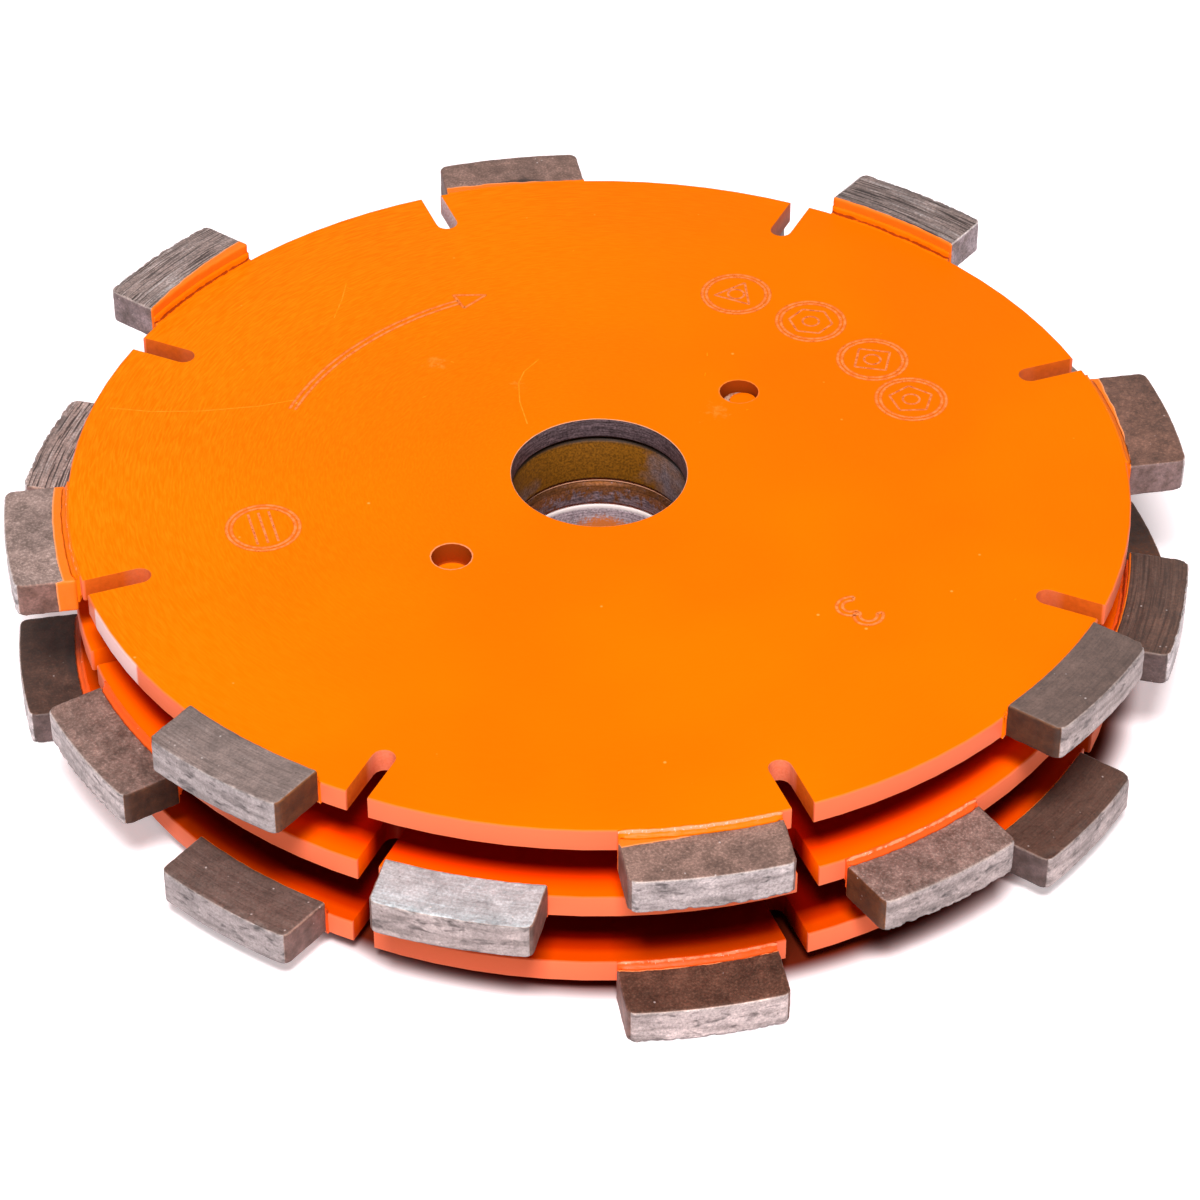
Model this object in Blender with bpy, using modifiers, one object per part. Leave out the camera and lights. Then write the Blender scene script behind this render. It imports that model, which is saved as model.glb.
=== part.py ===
import bpy
import bmesh
from math import asin, cos, pi, radians, sin
from mathutils import Vector

# A pack of three alike diamond cutting discs on two spacer rings, the middle disc turned over.
# Metres, +Z up along the spindle axis, origin on the axis at the level of the lowest segments.

# disc
core_diameter = 0.134         # steel blank
core_thickness = 0.0032
rim_break = 0.0002            # broken edge of the blank's rim
bore_diameter = 0.02223
bore_break = 0.0001           # bore's edge on the marked face
bore_chamfer = 0.0005         # bore's edge on the back
disc_count = 3

# radial slots, milled in from the rim
slot_count = 8
slot_width = 0.0028
slot_depth = 0.0084           # rim to the round end
slot_lag = radians(0.45)      # slots' turn against the pin holes, which shows once a disc is turned over

# pins that keep the pack in line
pin_circle_diameter = 0.050
pin_hole_diameter = 0.005
pin_line_angle = radians(45)  # line through both holes
pin_clearance = 0.0003        # round each pin
pin_shortfall = 0.004         # pin's length less than the pack between its clamp faces
pin_chamfer = 0.0004
pin_depths = (0.0014, 0.0031)  # upper ends below the upper clamp face

# segments, one behind each slot, shifted up and down in turn
segment_length = 0.0196
segment_depth = 0.0077        # foot to crown, which makes the cutting circle 150 mm
segment_thickness = 0.005
segment_shift = 0.0015        # segment's middle plane from the blank's
raised_setback = 0.0031       # along the rim, from the slot's side to a raised segment
lowered_setback = 0.001
joint_gap = 0.0003            # between a segment's foot and the rim
crown_corner = 0.0009         # radius worn on the crown's two ends
segment_edge = 0.0003         # all other edges

# spacer rings
spacer_wall = 0.0025          # ring left outside the pin holes
spacer_play = 0.0006          # ring's bore wider than the discs'
spacer_height = 0.0066
spacer_chamfer = 0.0004
seat_gap = 0.0003             # between a ring and each disc

# fineness of the round shapes
blank_steps = 96
ring_steps = 60
hole_sides = 20
slot_end_sides = 8
segment_arc_steps = 4
corner_steps = 3
cut_margin = 0.001            # how far a cutter runs past what it cuts

rim_radius = core_diameter / 2
foot_radius = rim_radius + joint_gap
tip_radius = foot_radius + segment_depth
spacer_diameter = pin_circle_diameter + pin_hole_diameter + 2 * spacer_wall
disc_pitch = core_thickness + spacer_height + 2 * seat_gap
lowest_drop = segment_shift + segment_thickness / 2
pack_thickness = core_thickness + (disc_count - 1) * disc_pitch
pin_length = pack_thickness - pin_shortfall
pin_angles = (pin_line_angle, pin_line_angle + pi)
slot_pitch = 2 * pi / slot_count
first_slot_angle = pin_line_angle + 2.5 * slot_pitch - slot_lag

disc_names = ("bottom", "middle", "top")
spacer_names = ("lower_spacer", "upper_spacer")


def clear_scene():
    for item in list(bpy.data.objects):
        bpy.data.objects.remove(item, do_unlink=True)


def new_collection(name):
    group = bpy.data.collections.new(name)
    bpy.context.scene.collection.children.link(group)
    return group


def new_material(name, colour, roughness, metallic):
    material = bpy.data.materials.new(name)
    material.use_nodes = True
    shader = material.node_tree.nodes["Principled BSDF"]
    shader.inputs["Base Color"].default_value = (*colour, 1.0)
    shader.inputs["Roughness"].default_value = roughness
    shader.inputs["Metallic"].default_value = metallic
    return material


def disc_level(index):
    """Height of a disc's middle plane, counted from the lowest disc."""
    return lowest_drop + index * disc_pitch


def arc_points(radius, start, end, steps, centre=(0.0, 0.0)):
    """Points along an arc, both ends included."""
    angles = [start + (end - start) * i / steps for i in range(steps + 1)]
    return [(centre[0] + radius * cos(angle), centre[1] + radius * sin(angle)) for angle in angles]


def outline_mesh(name, points, height):
    """A closed flat outline given a height, centred on its middle plane, as a welded mesh."""
    curve = bpy.data.curves.new(name + "_outline", "CURVE")
    curve.dimensions = "2D"
    curve.fill_mode = "BOTH"
    curve.extrude = height / 2
    spline = curve.splines.new("POLY")
    spline.points.add(len(points) - 1)
    for point, (x, y) in zip(spline.points, points):
        point.co = (x, y, 0.0, 1.0)
    spline.use_cyclic_u = True

    drawing = bpy.data.objects.new(name + "_outline", curve)
    bpy.context.scene.collection.objects.link(drawing)
    view = bpy.context.evaluated_depsgraph_get()
    mesh = bpy.data.meshes.new_from_object(drawing.evaluated_get(view))
    mesh.name = name
    bpy.data.objects.remove(drawing, do_unlink=True)
    bpy.data.curves.remove(curve)

    shape = bmesh.new()
    shape.from_mesh(mesh)
    bmesh.ops.remove_doubles(shape, verts=shape.verts, dist=0.000001)
    bmesh.ops.recalc_face_normals(shape, faces=shape.faces)
    shape.to_mesh(mesh)
    shape.free()
    return mesh


def profile_mesh(name, section):
    """A closed section of (radius, height) points in the XZ plane, ready to be turned."""
    mesh = bpy.data.meshes.new(name)
    points = [(radius, 0.0, height) for radius, height in section]
    edges = [(i, (i + 1) % len(points)) for i in range(len(points))]
    mesh.from_pydata(points, edges, [])
    return mesh


def turned_ring(name, section, steps, group, material):
    """A ring turned from its section round Z; the section runs down its outer side."""
    ring = bpy.data.objects.new(name, profile_mesh(name, section))
    group.objects.link(ring)
    screw = ring.modifiers.new("Turned", "SCREW")
    screw.axis = "Z"
    screw.angle = 2 * pi
    screw.steps = steps
    screw.render_steps = steps
    screw.use_smooth_shade = False
    screw.use_merge_vertices = True
    screw.merge_threshold = 0.000001
    ring.data.materials.append(material)
    return ring


def ring_section(outer_radius, outer_break, inner_radius, upper_break, lower_break, height):
    """Section of a flat ring with broken edges outside and inside, centred on its middle plane."""
    top = height / 2
    return [
        (outer_radius - outer_break, top),
        (outer_radius, top - outer_break),
        (outer_radius, -top + outer_break),
        (outer_radius - outer_break, -top),
        (inner_radius + lower_break, -top),
        (inner_radius, -top + lower_break),
        (inner_radius, top - upper_break),
        (inner_radius + upper_break, top),
    ]


def round_bar(name, diameter, height, group):
    """A plain cylinder centred on its object's origin."""
    shape = bmesh.new()
    bmesh.ops.create_cone(
        shape, cap_ends=True, segments=hole_sides, radius1=diameter / 2, radius2=diameter / 2, depth=height
    )
    mesh = bpy.data.meshes.new(name)
    shape.to_mesh(mesh)
    shape.free()
    bar = bpy.data.objects.new(name, mesh)
    group.objects.link(bar)
    return bar


def slot_outline():
    """A slot along +X: straight sides that run out past the rim, and a round inner end."""
    half_width = slot_width / 2
    end_centre = rim_radius - slot_depth + half_width
    outer_end = rim_radius + cut_margin
    mouth = [(outer_end, -half_width), (outer_end, half_width)]
    return mouth + arc_points(half_width, pi / 2, 3 * pi / 2, slot_end_sides, (end_centre, 0.0))


def segment_outline():
    """A segment centred on +X: parallel ends, foot curved to the rim, crown to the cutting circle."""
    half_length = segment_length / 2
    foot_angle = asin(half_length / foot_radius)
    foot = arc_points(foot_radius, foot_angle, -foot_angle, segment_arc_steps)

    corner_reach = tip_radius - crown_corner
    crown_angle = asin((half_length - crown_corner) / corner_reach)
    corner = (corner_reach * cos(crown_angle), corner_reach * sin(crown_angle))
    upper_corner = arc_points(crown_corner, crown_angle, pi / 2, corner_steps, corner)
    lower_corner = [(x, -y) for x, y in reversed(upper_corner)]
    crown = arc_points(tip_radius, -crown_angle, crown_angle, segment_arc_steps)
    return foot + lower_corner + crown[1:-1] + upper_corner


def hide_cutter(cutter):
    cutter.hide_render = True
    cutter.display_type = "WIRE"


def cut(target, cutter):
    hide_cutter(cutter)
    boolean = target.modifiers.new("Cut " + cutter.name, "BOOLEAN")
    boolean.operation = "DIFFERENCE"
    boolean.object = cutter
    boolean.solver = "EXACT"


def shade_round(item, angle):
    item.data.shade_smooth()
    item.data.set_sharp_from_angle(angle=angle)


def pin_place(angle, height):
    radius = pin_circle_diameter / 2
    return Vector((radius * cos(angle), radius * sin(angle), height))


def drill_pin_holes(target, depth, parent, cutters):
    """Two holes on the pin circle, right through a disc or a ring."""
    for number, angle in enumerate(pin_angles, 1):
        drill = round_bar(f"{target.name}_drill_{number}", pin_hole_diameter, depth + 2 * cut_margin, cutters)
        drill.parent = parent
        drill.location = pin_place(angle, target.location.z)
        cut(target, drill)


def add_core(name, frame, parts, cutters, material):
    """A turned blank with a chamfered bore, its slots milled and its pin holes drilled."""
    bore_radius = bore_diameter / 2
    section = ring_section(rim_radius, rim_break, bore_radius, bore_break, bore_chamfer, core_thickness)
    core = turned_ring(name + "_core", section, blank_steps, parts, material)
    core.parent = frame

    slot_mesh = outline_mesh(name + "_slot", slot_outline(), core_thickness + 2 * cut_margin)
    for number in range(slot_count):
        cutter = bpy.data.objects.new(f"{name}_slot_{number + 1}", slot_mesh)
        cutters.objects.link(cutter)
        cutter.parent = frame
        cutter.rotation_euler.z = first_slot_angle - number * slot_pitch
        cut(core, cutter)
    drill_pin_holes(core, core_thickness, frame, cutters)
    return core


def segment_angle(number, raised):
    """Where the middle of a segment lies: one setback and half a length past its slot."""
    setback = raised_setback if raised else lowered_setback
    lead = (slot_width / 2 + setback + segment_length / 2) / rim_radius
    return first_slot_angle - number * slot_pitch - lead


def add_segments(name, mesh, frame, parts):
    """One segment behind each slot, raised and lowered in turn so that the kerf is wide."""
    for number in range(slot_count):
        raised = number % 2 == 0
        segment = bpy.data.objects.new(f"{name}_segment_{number + 1}", mesh)
        parts.objects.link(segment)
        segment.parent = frame
        segment.rotation_euler.z = segment_angle(number, raised)
        segment.location.z = segment_shift if raised else -segment_shift
        worn = segment.modifiers.new("Worn edges", "BEVEL")
        worn.width = segment_edge
        worn.segments = 1
        worn.limit_method = "ANGLE"
        worn.angle_limit = radians(40)


def add_disc_frame(name, level, turned_over, parts):
    """The empty that carries a disc; a disc is turned over about the line through its pin holes."""
    frame = bpy.data.objects.new(name + "_disc", None)
    parts.objects.link(frame)
    frame.location.z = level
    if turned_over:
        frame.rotation_mode = "AXIS_ANGLE"
        frame.rotation_axis_angle = (pi, cos(pin_line_angle), sin(pin_line_angle), 0.0)
    return frame


def add_spacer(name, level, parts, cutters, material):
    """A turned ring between two discs, drilled for the pins."""
    bore_radius = (bore_diameter + spacer_play) / 2
    outer_radius = spacer_diameter / 2
    section = ring_section(
        outer_radius, spacer_chamfer, bore_radius, spacer_chamfer, spacer_chamfer, spacer_height
    )
    spacer = turned_ring(name, section, ring_steps, parts, material)
    spacer.location.z = level
    drill_pin_holes(spacer, spacer_height, None, cutters)
    return spacer


def add_pin(name, angle, top, parts, material):
    """A straight pin with chamfered ends, hung from the height of its upper end."""
    pin = round_bar(name, pin_hole_diameter - 2 * pin_clearance, pin_length, parts)
    pin.location = pin_place(angle, top - pin_length / 2)
    ends = pin.modifiers.new("Chamfered ends", "BEVEL")
    ends.width = pin_chamfer
    ends.segments = 1
    ends.limit_method = "ANGLE"
    ends.angle_limit = radians(60)
    pin.data.materials.append(material)
    shade_round(pin, radians(40))
    return pin


def build():
    clear_scene()
    parts = new_collection("diamond_cutting_disc_pack")
    cutters = new_collection("cutters")

    orange_paint = new_material("orange painted steel", (1.0, 0.223, 0.0), 0.35, 0.0)
    sintered = new_material("sintered diamond segment", (0.19, 0.14, 0.115), 0.6, 0.6)
    bare_steel = new_material("oiled bare steel", (0.22, 0.13, 0.09), 0.35, 0.9)

    segment_mesh = outline_mesh("segment", segment_outline(), segment_thickness)
    segment_mesh.materials.append(sintered)

    for index in range(disc_count):
        name = disc_names[index]
        frame = add_disc_frame(name, disc_level(index), index % 2 == 1, parts)
        core = add_core(name, frame, parts, cutters, orange_paint)
        add_segments(name, segment_mesh, frame, parts)

    for index in range(disc_count - 1):
        level = disc_level(index) + disc_pitch / 2
        add_spacer(spacer_names[index], level, parts, cutters, bare_steel)

    pack_top = disc_level(disc_count - 1) + core_thickness / 2
    for number, (angle, depth) in enumerate(zip(pin_angles, pin_depths), 1):
        add_pin(f"locating_pin_{number}", angle, pack_top - depth, parts, orange_paint)


build()
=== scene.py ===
import math

import bmesh
import bpy
from mathutils import Matrix, Vector, noise


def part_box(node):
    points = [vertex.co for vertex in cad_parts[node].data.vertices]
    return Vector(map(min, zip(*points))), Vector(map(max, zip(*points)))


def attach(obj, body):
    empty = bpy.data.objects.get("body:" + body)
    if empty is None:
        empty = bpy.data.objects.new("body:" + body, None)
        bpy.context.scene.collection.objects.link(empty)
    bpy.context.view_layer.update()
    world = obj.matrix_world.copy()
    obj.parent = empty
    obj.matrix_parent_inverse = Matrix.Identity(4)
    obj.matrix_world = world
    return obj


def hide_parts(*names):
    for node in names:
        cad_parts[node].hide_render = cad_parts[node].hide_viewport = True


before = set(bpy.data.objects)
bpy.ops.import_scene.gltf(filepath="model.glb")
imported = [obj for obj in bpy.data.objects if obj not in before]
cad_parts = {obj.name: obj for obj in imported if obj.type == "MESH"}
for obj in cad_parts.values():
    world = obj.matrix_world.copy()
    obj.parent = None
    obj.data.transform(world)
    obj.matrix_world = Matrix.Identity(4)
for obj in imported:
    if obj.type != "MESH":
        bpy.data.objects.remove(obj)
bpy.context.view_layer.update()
mm = 0.001
print("frame loaded with", len(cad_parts), "nodes")

layout = {
    "discs": ("top", "middle", "bottom"),
    "turnedOver": ("middle",),      # this disc lies with its marked face down
    "slotAngle": 157.05,            # degrees, the first slot, on a disc that isn't turned over
    "slotAngleTurned": 157.95,
    "slots": 8,
    "slotEndRadius": 60.0,          # mm, centre of a slot's round inner end
    "rimRadius": 67.0,              # mm
    "boreRadius": 11.115,           # mm
    "pinRadius": 25.0,              # mm, the circle that the pin holes stand on
    "pinHole": 2.5,                 # mm, radius
    "markRadius": 42.0,             # mm, the circle that the engraved marks stand on
}


def hexColour(text):
    channels = [int(text[i:i + 2], 16) / 255 for i in (1, 3, 5)]
    linear = [c / 12.92 if c <= 0.04045 else ((c + 0.055) / 1.055) ** 2.4 for c in channels]
    return (*linear, 1.0)


def addNode(tree, kind, inputs=None, **settings):
    node = tree.nodes.new(kind)
    for name, value in settings.items():
        setattr(node, name, value)
    for socket, value in (inputs or {}).items():
        if isinstance(value, bpy.types.Node):
            value = next(output for output in value.outputs if output.enabled)
        if isinstance(value, bpy.types.NodeSocket):
            tree.links.new(value, node.inputs[socket])
        else:
            node.inputs[socket].default_value = value
    return node


def startMaterial(name, **sockets):
    material = bpy.data.materials.new(name)
    material.use_nodes = True
    tree = material.node_tree
    tree.nodes.clear()
    shader = addNode(tree, "ShaderNodeBsdfPrincipled", sockets)
    addNode(tree, "ShaderNodeOutputMaterial", {"Surface": shader})
    return material, tree, shader


def placeInMm(tree):
    coords = addNode(tree, "ShaderNodeTexCoord")
    return addNode(tree, "ShaderNodeVectorMath", {0: coords.outputs["Object"], "Scale": 1 / mm},
                   operation="SCALE")


def startGrowth(name, numbers):
    tree = bpy.data.node_groups.new(name, "GeometryNodeTree")
    tree.interface.new_socket(name="Geometry", in_out="INPUT", socket_type="NodeSocketGeometry")
    for label, value in numbers.items():
        socket = tree.interface.new_socket(name=label, in_out="INPUT", socket_type="NodeSocketFloat")
        socket.default_value = value
    tree.interface.new_socket(name="Geometry", in_out="OUTPUT", socket_type="NodeSocketGeometry")
    return tree, addNode(tree, "NodeGroupInput").outputs


def addObject(name, data):
    piece = bpy.data.objects.new(name, data)
    bpy.context.scene.collection.objects.link(piece)
    return piece


def dress(piece, slot, *nodes):
    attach(piece, "root")
    if nodes:
        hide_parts(*nodes)


# sprayed enamel on ground steel: a flat, saturated orange with a soft gloss, with a pinkish painted
# reflection on the rim's walls, painted shade that makes the slot walls red-brown and the gaps dark red
# deep inside, and worn off where steel meets steel
enamelLook = {
    "colour": "#FF7300", "warm": "#FF7900", "pale": "#FF9A16", "edge": "#FA7850", "rimHighlight": "#FFD2CE",
    "slotWall": "#DC601A", "slotShade": "#B0440E", "holeWall": "#9C3C0C",
    # painted shade in the gaps: orange-red at the outer edge, dark red deep inside
    "gapShadeEdge": "#FF6400", "gapShadeRed": "#FA4000", "gapShadeDark": "#7C0600",
    "speck": "#FFB050", "bareEndAndReflection": "#F08A6A", "burr": "#FAA884", "lilac": "#FFE4EA", "pinSteel": "#C8A088",
    "steel": "#A4888E", "oil": "#94551C", "gleam": "#E8A584",
    "faceGloss": 0.05, "wallGloss": 0.12,    # specular level on the flat faces and on the rim's walls
    "roughness": 0.42,
    "drift": 30.0,          # mm, slow change of colour over the disc
    "peel": 1.3,            # mm between the dimples that spraying leaves
    "grain": (0.28, 1.7),   # mm, width and length of the ring-wise grinding marks under the paint
    "speckGap": 6.0,        # mm between dust specks
    "bareEdge": 0.05,       # mm of worn edge round the bore on the marked face
    "bareBack": 0.85,       # mm on the other face, with its chamfer
    "holeEdge": 0.16,       # mm of worn edge round the pin holes
    "gapShadeRadii": (67.0, 61.5),    # mm, radii between which the painted shade in the gaps deepens
    "smudges": ((-11.0, 18.4, 2.6), (14.8, 13.4, 4.2), (-22.0, 22.6, 3.4)),    # x, y and radius, mm
    "rimHighlightPatch": (-154.5, -143.5),  # degrees, a stretch of the upper rim with a pale painted highlight
    "barePatchAndHighlight": (-21.6, 59.6, 5.5),    # x, y and radius, mm: a slot wall that lost its paint, its pale lilac partly a painted highlight
}


def enamelMaterial(name, gloss):
    look = enamelLook
    material, tree, shader = startMaterial(name, **{"Specular IOR Level": gloss, "IOR": 1.5,
                                                    "Specular Tint": hexColour(look["pale"])})
    coords = addNode(tree, "ShaderNodeTexCoord")
    place = placeInMm(tree)
    own = addNode(tree, "ShaderNodeAttribute", attribute_name="discPlace").outputs["Vector"]
    flat = addNode(tree, "ShaderNodeVectorMath", {0: own, 1: (1, 1, 0)}, operation="MULTIPLY")
    radius = addNode(tree, "ShaderNodeVectorMath", {0: flat}, operation="LENGTH").outputs["Value"]
    xyz = addNode(tree, "ShaderNodeSeparateXYZ", {0: own})
    normal = addNode(tree, "ShaderNodeSeparateXYZ", {0: coords.outputs["Normal"]})
    tilt = addNode(tree, "ShaderNodeMath", {0: normal.outputs["Z"]}, operation="ABSOLUTE")
    wall = addNode(tree, "ShaderNodeMapRange", {0: tilt, 1: 0.5, 2: 0.9, 3: 1.0, 4: 0.0})

    # distance from the round end of the nearest slot
    angle = addNode(tree, "ShaderNodeMath", {0: xyz.outputs["Y"], 1: xyz.outputs["X"]}, operation="ARCTAN2")
    halfPitch = math.pi / layout["slots"]
    turned = addNode(tree, "ShaderNodeMath", {0: angle, 1: halfPitch, 2: -halfPitch}, operation="WRAP")
    cosine = addNode(tree, "ShaderNodeMath", {0: turned}, operation="COSINE")
    sine = addNode(tree, "ShaderNodeMath", {0: turned}, operation="SINE")
    outward = addNode(tree, "ShaderNodeMath", {0: radius, 1: cosine, 2: -layout["slotEndRadius"]},
                      operation="MULTIPLY_ADD")
    across = addNode(tree, "ShaderNodeMath", {0: radius, 1: sine}, operation="MULTIPLY")
    toEnd = addNode(tree, "ShaderNodeCombineXYZ", {0: outward, 1: across})
    endDistance = addNode(tree, "ShaderNodeVectorMath", {0: toEnd}, operation="LENGTH").outputs["Value"]

    # the paint itself: slow drift, grinding marks that show through, paler towards the back left as a
    # painted sheen, dust specks
    drift = addNode(tree, "ShaderNodeTexNoise",
                    {"Vector": place, "Scale": 1 / look["drift"], "Detail": 2.0})
    width, length = look["grain"]
    grainRadius = addNode(tree, "ShaderNodeMath", {0: radius, 1: 1 / width}, operation="MULTIPLY")
    grainAngle = addNode(tree, "ShaderNodeMath", {0: angle, 1: layout["markRadius"] / length},
                         operation="MULTIPLY")
    grainPlace = addNode(tree, "ShaderNodeCombineXYZ", {0: grainRadius, 1: grainAngle})
    grain = addNode(tree, "ShaderNodeTexNoise",
                    {"Vector": grainPlace, "Scale": 1.0, "Detail": 2.0, "Distortion": 0.6})
    # painted sheen: the grinding marks show paler towards the back left
    side = addNode(tree, "ShaderNodeVectorMath", {0: place, 1: (-0.9, 0.45, 0.0)}, operation="DOT_PRODUCT")
    grainSheen = addNode(tree, "ShaderNodeMapRange",
                        {0: side.outputs["Value"], 1: 0.0, 2: 55.0, 3: 0.03, 4: 0.5})
    grainTone = addNode(tree, "ShaderNodeMapRange", {0: grain, 1: 0.35, 2: 0.7, 3: 0.0, 4: 1.0})
    grainAmount = addNode(tree, "ShaderNodeMath", {0: grainTone, 1: grainSheen}, operation="MULTIPLY")
    driftTone = addNode(tree, "ShaderNodeMapRange", {0: drift, 1: 0.4, 2: 0.65, 3: 0.0, 4: 1.0})
    cells = addNode(tree, "ShaderNodeTexVoronoi", {"Vector": place, "Scale": 1 / look["speckGap"]})
    speck = addNode(tree, "ShaderNodeMapRange",
                    {0: cells.outputs["Distance"], 1: 0.040, 2: 0.022, 3: 0.0, 4: 0.7})
    layers = [(driftTone, "warm"), (grainAmount, "pale"), (speck, "speck")]
    dull = addNode(tree, "ShaderNodeTexNoise",
                   {"Vector": place, "Scale": 0.9, "Detail": 4.0, "Roughness": 0.7})
    for x, y, size in look["smudges"]:
        off = addNode(tree, "ShaderNodeVectorMath", {0: place, 1: (x, y, 26.4)}, operation="DISTANCE")
        fade = addNode(tree, "ShaderNodeMapRange",
                       {0: off.outputs["Value"], 1: size, 2: 0.0, 3: -0.2, 4: 0.12})
        smudge = addNode(tree, "ShaderNodeMath", {0: dull, 1: fade}, operation="ADD")
        smudge = addNode(tree, "ShaderNodeMapRange", {0: smudge, 1: 0.52, 2: 0.76, 3: 0.0, 4: 0.4})
        layers.append((smudge, "speck"))
    paint = hexColour(look["colour"])
    for amount, name in layers:
        paint = addNode(tree, "ShaderNodeMix", {0: amount, 6: paint, 7: hexColour(look[name])},
                        data_type="RGBA")

    # painted shade in the gaps between the discs: the paint turns redder and darker the deeper it lies, and
    # darker on the lower discs
    spot = addNode(tree, "ShaderNodeSeparateXYZ", {0: place})
    lower = addNode(tree, "ShaderNodeMapRange", {0: spot.outputs["Z"], 1: 22.8, 2: 22.0, 3: 0.0, 4: 1.0})
    start, end = look["gapShadeRadii"]
    inward = addNode(tree, "ShaderNodeMapRange", {0: radius, 1: start, 2: end, 3: 0.0, 4: 1.0})
    offHoles = addNode(tree, "ShaderNodeMath", {0: radius, 1: 32.0}, operation="GREATER_THAN")
    gapShade = addNode(tree, "ShaderNodeMath", {0: lower, 1: offHoles}, operation="MULTIPLY")
    lowest = addNode(tree, "ShaderNodeMapRange", {0: spot.outputs["Z"], 1: 8.0, 2: 12.0, 3: 0.6, 4: 0.0})
    inward = addNode(tree, "ShaderNodeMath", {0: lowest, 1: 0.3, 2: inward}, operation="MULTIPLY_ADD")
    deeper = addNode(tree, "ShaderNodeMapRange", {0: inward, 1: 0.45, 2: 0.95, 3: 0.0, 4: 1.0})
    gapShadePaint = addNode(tree, "ShaderNodeMix",
                       {0: deeper, 6: hexColour(look["gapShadeRed"]), 7: hexColour(look["gapShadeDark"])},
                       data_type="RGBA")
    reach = addNode(tree, "ShaderNodeMapRange", {0: inward, 1: 0.15, 2: 0.6, 3: 0.0, 4: 1.0})
    reach = addNode(tree, "ShaderNodeMath", {0: reach, 1: lowest}, operation="MAXIMUM")
    gapShadePaint = addNode(tree, "ShaderNodeMix", {0: reach, 6: hexColour(look["gapShadeEdge"]), 7: gapShadePaint},
                       data_type="RGBA")
    below = addNode(tree, "ShaderNodeMapRange", {0: spot.outputs["Z"], 1: 7.0, 2: 14.0, 3: 0.76, 4: 1.0})
    gapShadePaint = addNode(tree, "ShaderNodeVectorMath", {0: gapShadePaint, "Scale": below}, operation="SCALE")

    # walls: a pinkish painted reflection on the rim; in the slots and pin holes lightly mottled, and browner
    # and darker as painted shade
    ragged = addNode(tree, "ShaderNodeTexNoise", {"Vector": place, "Scale": 1.6, "Detail": 3.0})
    chipped = addNode(tree, "ShaderNodeTexNoise", {"Vector": place, "Scale": 3.5, "Detail": 3.0})
    outer = addNode(tree, "ShaderNodeMapRange", {0: radius, 1: 66.5, 2: 66.8, 3: 0.0, 4: 1.0})
    rim = addNode(tree, "ShaderNodeMath", {0: wall, 1: outer}, operation="MULTIPLY")
    inner = addNode(tree, "ShaderNodeMath", {0: wall, 1: rim}, operation="SUBTRACT", use_clamp=True)
    # painted highlight: a pale, nearly white stretch of the upper rim's wall
    start, end = (math.radians(degrees) for degrees in look["rimHighlightPatch"])
    bearing = addNode(tree, "ShaderNodeMath",
                      {0: spot.outputs["Y"], 1: spot.outputs["X"]}, operation="ARCTAN2")
    fromMiddle = addNode(tree, "ShaderNodeMath", {0: bearing, 1: -(start + end) / 2}, operation="ADD")
    fromMiddle = addNode(tree, "ShaderNodeMath", {0: fromMiddle}, operation="ABSOLUTE")
    rimHighlightMask = addNode(tree, "ShaderNodeMapRange",
                      {0: fromMiddle, 1: (end - start) / 2, 2: (end - start) / 2 - 0.008, 3: 0.0, 4: 0.95})
    onTop = addNode(tree, "ShaderNodeMath", {0: 1.0, 1: lower}, operation="SUBTRACT")
    upperWall = addNode(tree, "ShaderNodeMapRange",
                        {0: spot.outputs["Z"], 1: 22.8, 2: 23.2, 3: 0.0, 4: 1.0})
    rimHighlightMask = addNode(tree, "ShaderNodeMath", {0: rimHighlightMask, 1: upperWall}, operation="MULTIPLY")
    # painted reflection: the rim's walls are tinted pink for the bright floor mirrored in them
    edge = addNode(tree, "ShaderNodeMix",
                   {0: rimHighlightMask, 6: hexColour(look["edge"]), 7: hexColour(look["rimHighlight"])},
                   data_type="RGBA")
    # painted shade: the slot walls are redder and darker than the faces
    slotTone = addNode(tree, "ShaderNodeMapRange", {0: ragged, 1: 0.3, 2: 0.7, 3: 0.0, 4: 0.4})
    slotWall = addNode(tree, "ShaderNodeMix",
                       {0: slotTone, 6: hexColour(look["slotWall"]), 7: hexColour(look["slotShade"])},
                       data_type="RGBA")
    # painted shade: the pin holes' walls are darker still
    inHole = addNode(tree, "ShaderNodeMath", {0: 1.0, 1: offHoles}, operation="SUBTRACT")
    slotWall = addNode(tree, "ShaderNodeMix", {0: inHole, 6: slotWall, 7: hexColour(look["holeWall"])},
                       data_type="RGBA")
    paint = addNode(tree, "ShaderNodeMix", {0: inner, 6: paint, 7: slotWall}, data_type="RGBA")
    paint = addNode(tree, "ShaderNodeMix", {0: gapShade, 6: paint, 7: gapShadePaint}, data_type="RGBA")
    paint = addNode(tree, "ShaderNodeMix", {0: rim, 6: paint, 7: edge}, data_type="RGBA")

    # thin spots: the slots' round ends, worn pale and partly a painted reflection, strongest on the front
    # slots; one slot wall that lost its paint, partly a painted highlight; burrs round the pin holes
    # the pale slot ends are partly a painted reflection, kept mostly to the slots in front
    nearEnd = addNode(tree, "ShaderNodeMapRange", {0: endDistance, 1: 2.3, 2: 1.5, 3: 0.0, 4: 0.85})
    patch = addNode(tree, "ShaderNodeMapRange", {0: chipped, 1: 0.35, 2: 0.65, 3: 0.7, 4: 1.0})
    inFront = addNode(tree, "ShaderNodeMapRange",
                      {0: spot.outputs["Y"], 1: -45.0, 2: -15.0, 3: 1.0, 4: 0.15})
    bareEndAndReflection = patch
    for limit in (nearEnd, inner, onTop, inFront):
        bareEndAndReflection = addNode(tree, "ShaderNodeMath", {0: bareEndAndReflection, 1: limit}, operation="MULTIPLY")
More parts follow.
